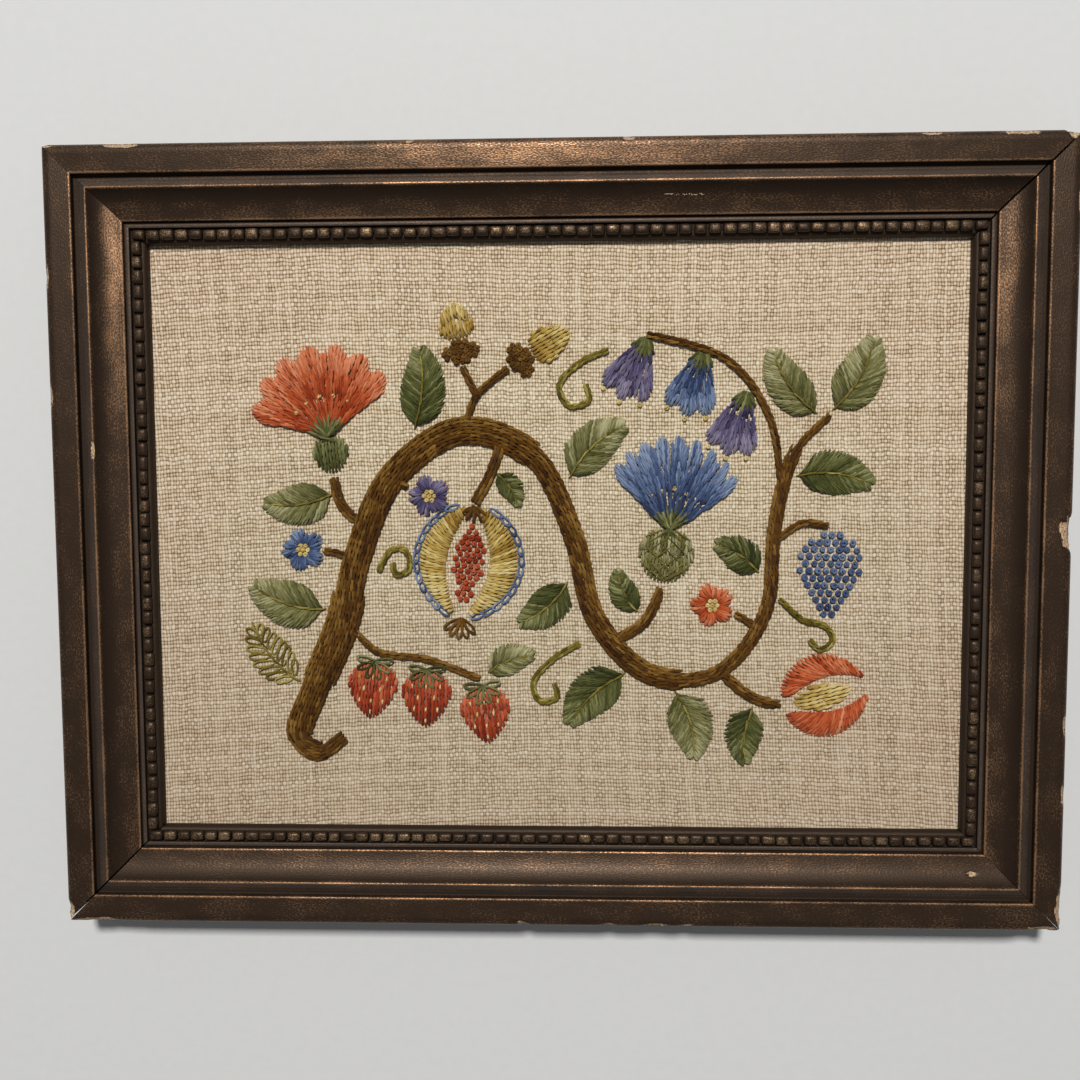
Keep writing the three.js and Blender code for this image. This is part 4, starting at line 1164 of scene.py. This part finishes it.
fern_loops = loops(blade_place(fern, fern_t, 0.15 * fern_side), fern_tip, 1.7, 0.6)
yarn_piece("stitched_fern", [fern_loops, midrib(fern, 0.95)], "wool_olive", ["fern"], 41)
print(len(ribs), "leaves and a fern")

# %% [markdown]
# Flower heads are fans: a sector with a scalloped edge. They are filled with long and short stitches,
# in rings that overlap raggedly, so that one shade runs into the next.

# %% Flower heads
Fan = namedtuple("Fan", "name slot x y heading spread radius base teeth cut")
SHOULDER_DROP = 0.1
FANS = [Fan(*row) for row in (
    ("carnation", "wool_coral", -52.4, 25.2, 104, 140, 20, 5, 7, 0.13),
    ("thistle", "wool_blue", 26.3, 3.6, 84, 112, 20, 6, 9, 0.12),
    ("bell_a", "wool_lavender", 43.3, 32.6, 252, 62, 14.5, 3, 3, 0.14),
    ("bell_b", "wool_blue", 33.5, 41.8, 254, 62, 14.5, 3, 3, 0.14),
    ("bell_c", "wool_lavender", 20.6, 44.9, 246, 62, 14.5, 3, 3, 0.14),
)]
RINGS = ((0.0, 0.46, 0.05, 0.3), (0.34, 0.76, 0.3, 0.6), (0.62, 1.0, 0.6, 0.98))


def fan_place(fan, side, share):
    """The place at a share of the way from a fan's base to its scalloped edge; side is -1 to 1 across it."""
    scallop = 1 - fan.cut * (1 - np.abs(np.sin(np.pi * fan.teeth * (side + 1) / 2)))
    radius = fan.radius * scallop * (1 - SHOULDER_DROP * side ** 2)
    angle = np.radians(side * fan.spread / 2)
    x = share * radius * np.cos(angle)
    y = (1 - share) * side * fan.base / 2 + share * radius * np.sin(angle)
    return np.stack(turned(x, y, fan.heading, (fan.x, fan.y)), -1)


def long_and_short(fan):
    """Rings of stitches from the base out; lower, with painted shade, between the scallops, paler to the
    edge.
    """
    made = []
    for number, (near, far, dark, light) in enumerate(RINGS):
        middle = fan.radius * (near + far) / 2 + fan.base / 2
        count = max(5, int(np.radians(fan.spread) * middle / (WOOL_PITCH * 0.9)))
        side = 2 * (np.arange(count) + 0.5) / count - 1
        side = np.clip(side + 0.3 / count * random.standard_normal(count), -1, 1)
        crest = np.abs(np.sin(np.pi * fan.teeth * (side + 1) / 2))
        start = np.clip(near + 0.05 * random.standard_normal(count) * (number > 0), 0, 1)
        end = far + 0.05 * random.standard_normal(count) * (number < len(RINGS) - 1)
        # Painted shade: stitches between the scallops are darker.
        tone = dark + (light - dark) * STITCH_SHARES[None] - 0.22 * (1 - crest[:, None])
        rise = 0.62 + 0.3 * crest + 0.05 * number
        made.append(straight(fan_place(fan, side, start), fan_place(fan, side, end), rise, tone))
    return made


for seed, fan in enumerate(FANS):
    yarn_piece(f"stitched_{fan.name}", long_and_short(fan), fan.slot, [fan.name], 50 + seed)
print("flower heads:", ", ".join(fan.name for fan in FANS))

# %% [markdown]
# The posies are little round flowers. Straight stitches run from the heart out to an edge that is drawn
# in between the petals, and a ring of gold knots fills the heart.

# %% Posies
Posy = namedtuple("Posy", "name slot x y radius petals cut")
POSIES = [Posy(*row) for row in (
    ("posy_a", "wool_blue", -58.8, -2.4, 5.2, 5, 0.3), ("posy_b", "wool_coral", 36, -15.4, 5.2, 5, 0.3),
    ("posy_c", "wool_lavender", -29.2, 10, 5, 5, 0.3),
)]
POSY_HEART, POSY_KNOTS, HEART_RADIUS = 0.26, 6, 1.15
hearts = []
for seed, posy in enumerate(POSIES):
    count = int(2 * np.pi * 0.72 * posy.radius / (WOOL_PITCH * 0.8))
    angle = 2 * np.pi * (np.arange(count) + 0.2 * random.standard_normal(count)) / count
    crest = np.abs(np.sin(posy.petals * angle / 2))
    spoke = np.stack([np.cos(angle), np.sin(angle)], -1) * posy.radius
    centre = np.array([posy.x, posy.y])
    edge = centre + spoke * (1 - posy.cut * (1 - crest))[:, None]
    # Painted shade: stitches are darker where the edge is drawn in between the petals.
    tone = 0.2 + 0.6 * STITCH_SHARES - 0.2 * (1 - crest[:, None])
    petals = straight(centre + spoke * POSY_HEART, edge, 0.6 + 0.4 * crest, tone)
    yarn_piece(f"stitched_{posy.name}", [petals], posy.slot, [posy.name], 90 + seed)
    ring = 2 * np.pi * np.arange(POSY_KNOTS) / POSY_KNOTS
    dots = np.concatenate([centre[None], centre + HEART_RADIUS * np.stack([np.cos(ring), np.sin(ring)], -1)])
    hearts.append(knots(dots, 0.7, 0.42, 0.28))
yarn_piece("posy_hearts", hearts, "wool_gold", seed=94)
print("posies:", ", ".join(posy.name for posy in POSIES))

# %% [markdown]
# Fruits and the smaller parts of the flowers are satin stitch, along or across the shape, or packed
# French knots.

# %% Fruits and cups
CUP_KNOTS = {"gap": 1.25, "size": 0.55, "margin": 0.3}
GRAPE_KNOTS = {"gap": 1.9, "size": 0.62, "shades": (0.7, 0.25)}
BERRY_BANDS = {"bands": 2, "shades": (0.8, 0.2)}
NUT_BANDS = {"bands": 2, "shades": (0.2, 0.7)}
FRUITS = (
    (across_satin, "wool_gold", ("fruit_husk_a", "husk", -17.2, 7, 262, 25, 7, 0.28), {}),
    (across_satin, "wool_gold", ("fruit_husk_b", "husk", -20.4, 7.4, 262, 25, 6.6, -0.26), {"slant": -0.3}),
    (knot_fill, "wool_rust", ("fruit_seeds", "seed", -19, 3.6, 262, 18.5, 7.2, 0.0), {}),
    (along_satin, "wool_green", ("carnation_calyx", "calyx", -51.4, 15.2, 96, 9.2, 8, 0.0), {"bands": 1}),
    (along_satin, "wool_sage", ("thistle_calyx", "calyx", 24.6, -10.4, 84, 13, 12.4, 0.0), {"bands": 2}),
    (along_satin, "wool_gold", ("tulip_heart", "seed", 54.8, -38.1, 14, 14, 5.6, 0.0), {"bands": 2}),
    (across_satin, "wool_coral", ("tulip_petal_a", "petal", 52.2, -36.5, 14, 19, 6, 0.25), {"slant": 0.8}),
    (across_satin, "wool_coral", ("tulip_petal_b", "petal", 53.2, -40.6, 14, 19, 6, -0.25), {"slant": -0.8}),
    (along_satin, "wool_rust", ("strawberry_a", "berry", -42.4, -28.8, 264, 13.6, 11.2, 0.0), BERRY_BANDS),
    (along_satin, "wool_rust", ("strawberry_b", "berry", -30.2, -30.8, 268, 13.6, 11.2, 0.0), BERRY_BANDS),
    (along_satin, "wool_rust", ("strawberry_c", "berry", -17.2, -34.6, 276, 13.6, 11.2, 0.0), BERRY_BANDS),
    (knot_fill, "wool_brown", ("acorn_cup_a", "cup", -10.3, 39.8, 30, 5, 8.4, 0.0), CUP_KNOTS),
    (along_satin, "wool_gold", ("acorn_nut_a", "nut", -5.4, 42.6, 30, 10, 7.6, 0.0), NUT_BANDS),
    (knot_fill, "wool_brown", ("acorn_cup_b", "cup", -21.1, 40.3, 100, 5, 8.4, 0.0), CUP_KNOTS),
    (along_satin, "wool_gold", ("acorn_nut_b", "nut", -22.1, 45.8, 100, 8.5, 7.6, 0.0), NUT_BANDS),
    (knot_fill, "wool_blue", ("grapes", "berry", 63, 1.6, 268, 20, 14.5, 0.0), GRAPE_KNOTS),
)
blades = {}
for seed, (filling, slot, row, options) in enumerate(FRUITS):
    blade = blades[row[0]] = Blade(*row)
    yarn_piece(f"stitched_{blade.name}", filling(blade, **options), slot, [blade.name], 60 + seed)
print(len(FRUITS), "fruits, husks, cups and calyxes")

# %% [markdown]
# Small stitches worked on top finish the plants: gold pips and green caps on the strawberries, a
# couched lattice on the thistle, chain stitch along the husks, a cap and a crown on the split fruit,
# green caps on the bells, and gold knots in the flowers.

# %% Finishing stitches
CAP_SWING, CAP_LENGTH = np.array([-100, -62, -20, 20, 62, 100]), 4.3
PIP_SHARES = np.array([0.25, 0.25, 0.25, 0.45, 0.45, 0.65, 0.65, 0.65, 0.84])
PIP_ASIDE = np.array([-0.6, 0.0, 0.6, -0.35, 0.35, -0.6, 0.0, 0.6, 0.0])
pips, caps = [], []
for name in ("strawberry_a", "strawberry_b", "strawberry_c"):
    berry = blades[name]
    aside = PIP_ASIDE * blade_half(berry, PIP_SHARES)
    start, end = (blade_place(berry, PIP_SHARES + ahead, aside) for ahead in (-0.05, 0.07))
    pips.append(straight(start, end, 1.25, 0.75, 0.24))
    swing = np.radians(berry.heading + CAP_SWING)
    root = np.tile(blade_place(berry, np.array([-0.02]), np.array([0.0])), (len(swing), 1))
    leaflet = root + CAP_LENGTH * np.stack([np.cos(swing), np.sin(swing)], -1)
    caps.append(loops(root, leaflet, 1.5, 0.55, 0.3, 1.2))
yarn_piece("strawberry_pips", pips, "wool_gold", seed=80)
yarn_piece("strawberry_caps", caps, "wool_green", seed=81)

LATTICE_SPAN = 0.62
calyx = blades["thistle_calyx"]
lattice = []
for side in (1, -1):
    t = np.linspace(-0.25, 0.8, 7)
    near, far = (np.clip(share, 0.04, 0.96) for share in (t, t + LATTICE_SPAN))
    reach = np.minimum(1.0, (far - near) / LATTICE_SPAN)
    lost = 2 * (near - t) / LATTICE_SPAN
    left = side * blade_half(calyx, near) * (1 - lost)
    right = -side * blade_half(calyx, far) * (2 * reach - 1 + lost).clip(-1, 1)
    lattice.append(straight(blade_place(calyx, near, left), blade_place(calyx, far, right), 1.25, 0.35, 0.2))
yarn_piece("thistle_lattice", lattice, "wool_olive", seed=82)

chains = []
for name, side in (("fruit_husk_a", 1), ("fruit_husk_b", -1)):
    husk = blades[name]
    t = np.linspace(0.03, 0.97, 14)
    edge = blade_place(husk, t, side * (blade_half(husk, t) + 0.5))
    chains.append(loops(edge[:-1], edge[1:] + 0.25 * (edge[1:] - edge[:-1]), 1.4, 0.5, 0.28, 0.6))
yarn_piece("husk_chains", chains, "wool_blue", seed=83)

SEPALS = 9
carnation, thistle, *bells = FANS
fade = np.tile(np.linspace(0.25, 0.75, len(STITCH_SHARES)), (SEPALS, 1))
sepals = []
for name, fan in (("carnation_calyx", carnation), ("thistle_calyx", thistle)):
    side = np.linspace(-0.95, 0.95, SEPALS)
    root = blade_place(blades[name], np.full(SEPALS, 0.72), -side * 0.36 * blades[name].width)
    reach = 0.24 + 0.06 * (np.arange(SEPALS) % 2)
    sepals.append(straight(root, fan_place(fan, side, reach), 1.2, fade))
yarn_piece("flower_sepals", sepals, "wool_green", seed=87)

bell_caps = []
for fan in bells:
    side = np.linspace(-1.15, 1.15, 7)
    root = fan_place(fan, side * 0.5, np.full_like(side, -0.07))
    bell_caps.append(straight(root, fan_place(fan, side, 0.34 - 0.1 * side ** 2), 1.15, 0.45))
yarn_piece("bell_caps", bell_caps, "wool_green", seed=85)

seeds = blades["fruit_seeds"]
CROWN_SWING, CROWN_LENGTH, FRUIT_CAP_LENGTH = np.array([-52, -26, 0, 26, 52]), 4.6, 4.4
swing = np.radians(seeds.heading + CROWN_SWING)
spoke = np.stack([np.cos(swing), np.sin(swing)], -1)
crown_root = blade_place(seeds, np.array([1.2]), np.array([0.0]))
cap_root = blade_place(seeds, np.array([-0.24]), np.array([0.0]))
crown_tip = crown_root + CROWN_LENGTH * spoke
crown = loops(np.broadcast_to(crown_root, spoke.shape), crown_tip, 1.5, 0.55, 0.3, 0.9)
cap = straight(cap_root + 0.5 * spoke, cap_root + FRUIT_CAP_LENGTH * spoke, 1.2, 0.4)
yarn_piece("fruit_crown", [crown, cap], "wool_brown", seed=86)

stamens = []
for fan in FANS:
    count, reach = (3, 1.03) if fan in bells else (5, 0.4)
    side = np.linspace(-0.6, 0.6, count)
    stamens.append(knots(fan_place(fan, side, np.full(count, reach)), 0.7, 0.42, 0.27))
yarn_piece("flower_knots", stamens, "wool_gold", seed=84)
print("pips, caps, lattice, chains and knots")

# %% [markdown]
# The board behind the linen is plain card, seen only from the back. Its solid is right as it is, so it
# only gets a fibrous card finish.

# %% Mount board
card, tree, shader = finish_of("card")
place = object_place(tree)
fibres = noise(tree, place, 900.0, 6.0)
stain = noise(tree, place, 18.0, 3.0)
tint = blend(tree, fibres, srgb(120, 104, 84), srgb(158, 140, 114))
tint = blend(tree, step(tree, stain, 0.45, 0.7, 0.0, 0.4), tint, srgb(104, 82, 58))
tree.links.new(tint, shader["Base Color"])
shader["Roughness"].default_value = 0.95
emboss(tree, shader, fibres, 0.3, 0.2)
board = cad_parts["mount_board"].data
board.materials.clear()
board.materials.append(card)
print("mount board finished in card")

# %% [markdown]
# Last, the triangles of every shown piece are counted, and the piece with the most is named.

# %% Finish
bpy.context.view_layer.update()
shown = [piece for piece in scene.objects if piece.type == "MESH" and not piece.hide_render]
triangles = {piece.name: sum(len(face.vertices) - 2 for face in piece.data.polygons) for piece in shown}
most = max(triangles, key=triangles.get)
print("triangles:", sum(triangles.values()), "most:", most, triangles[most])
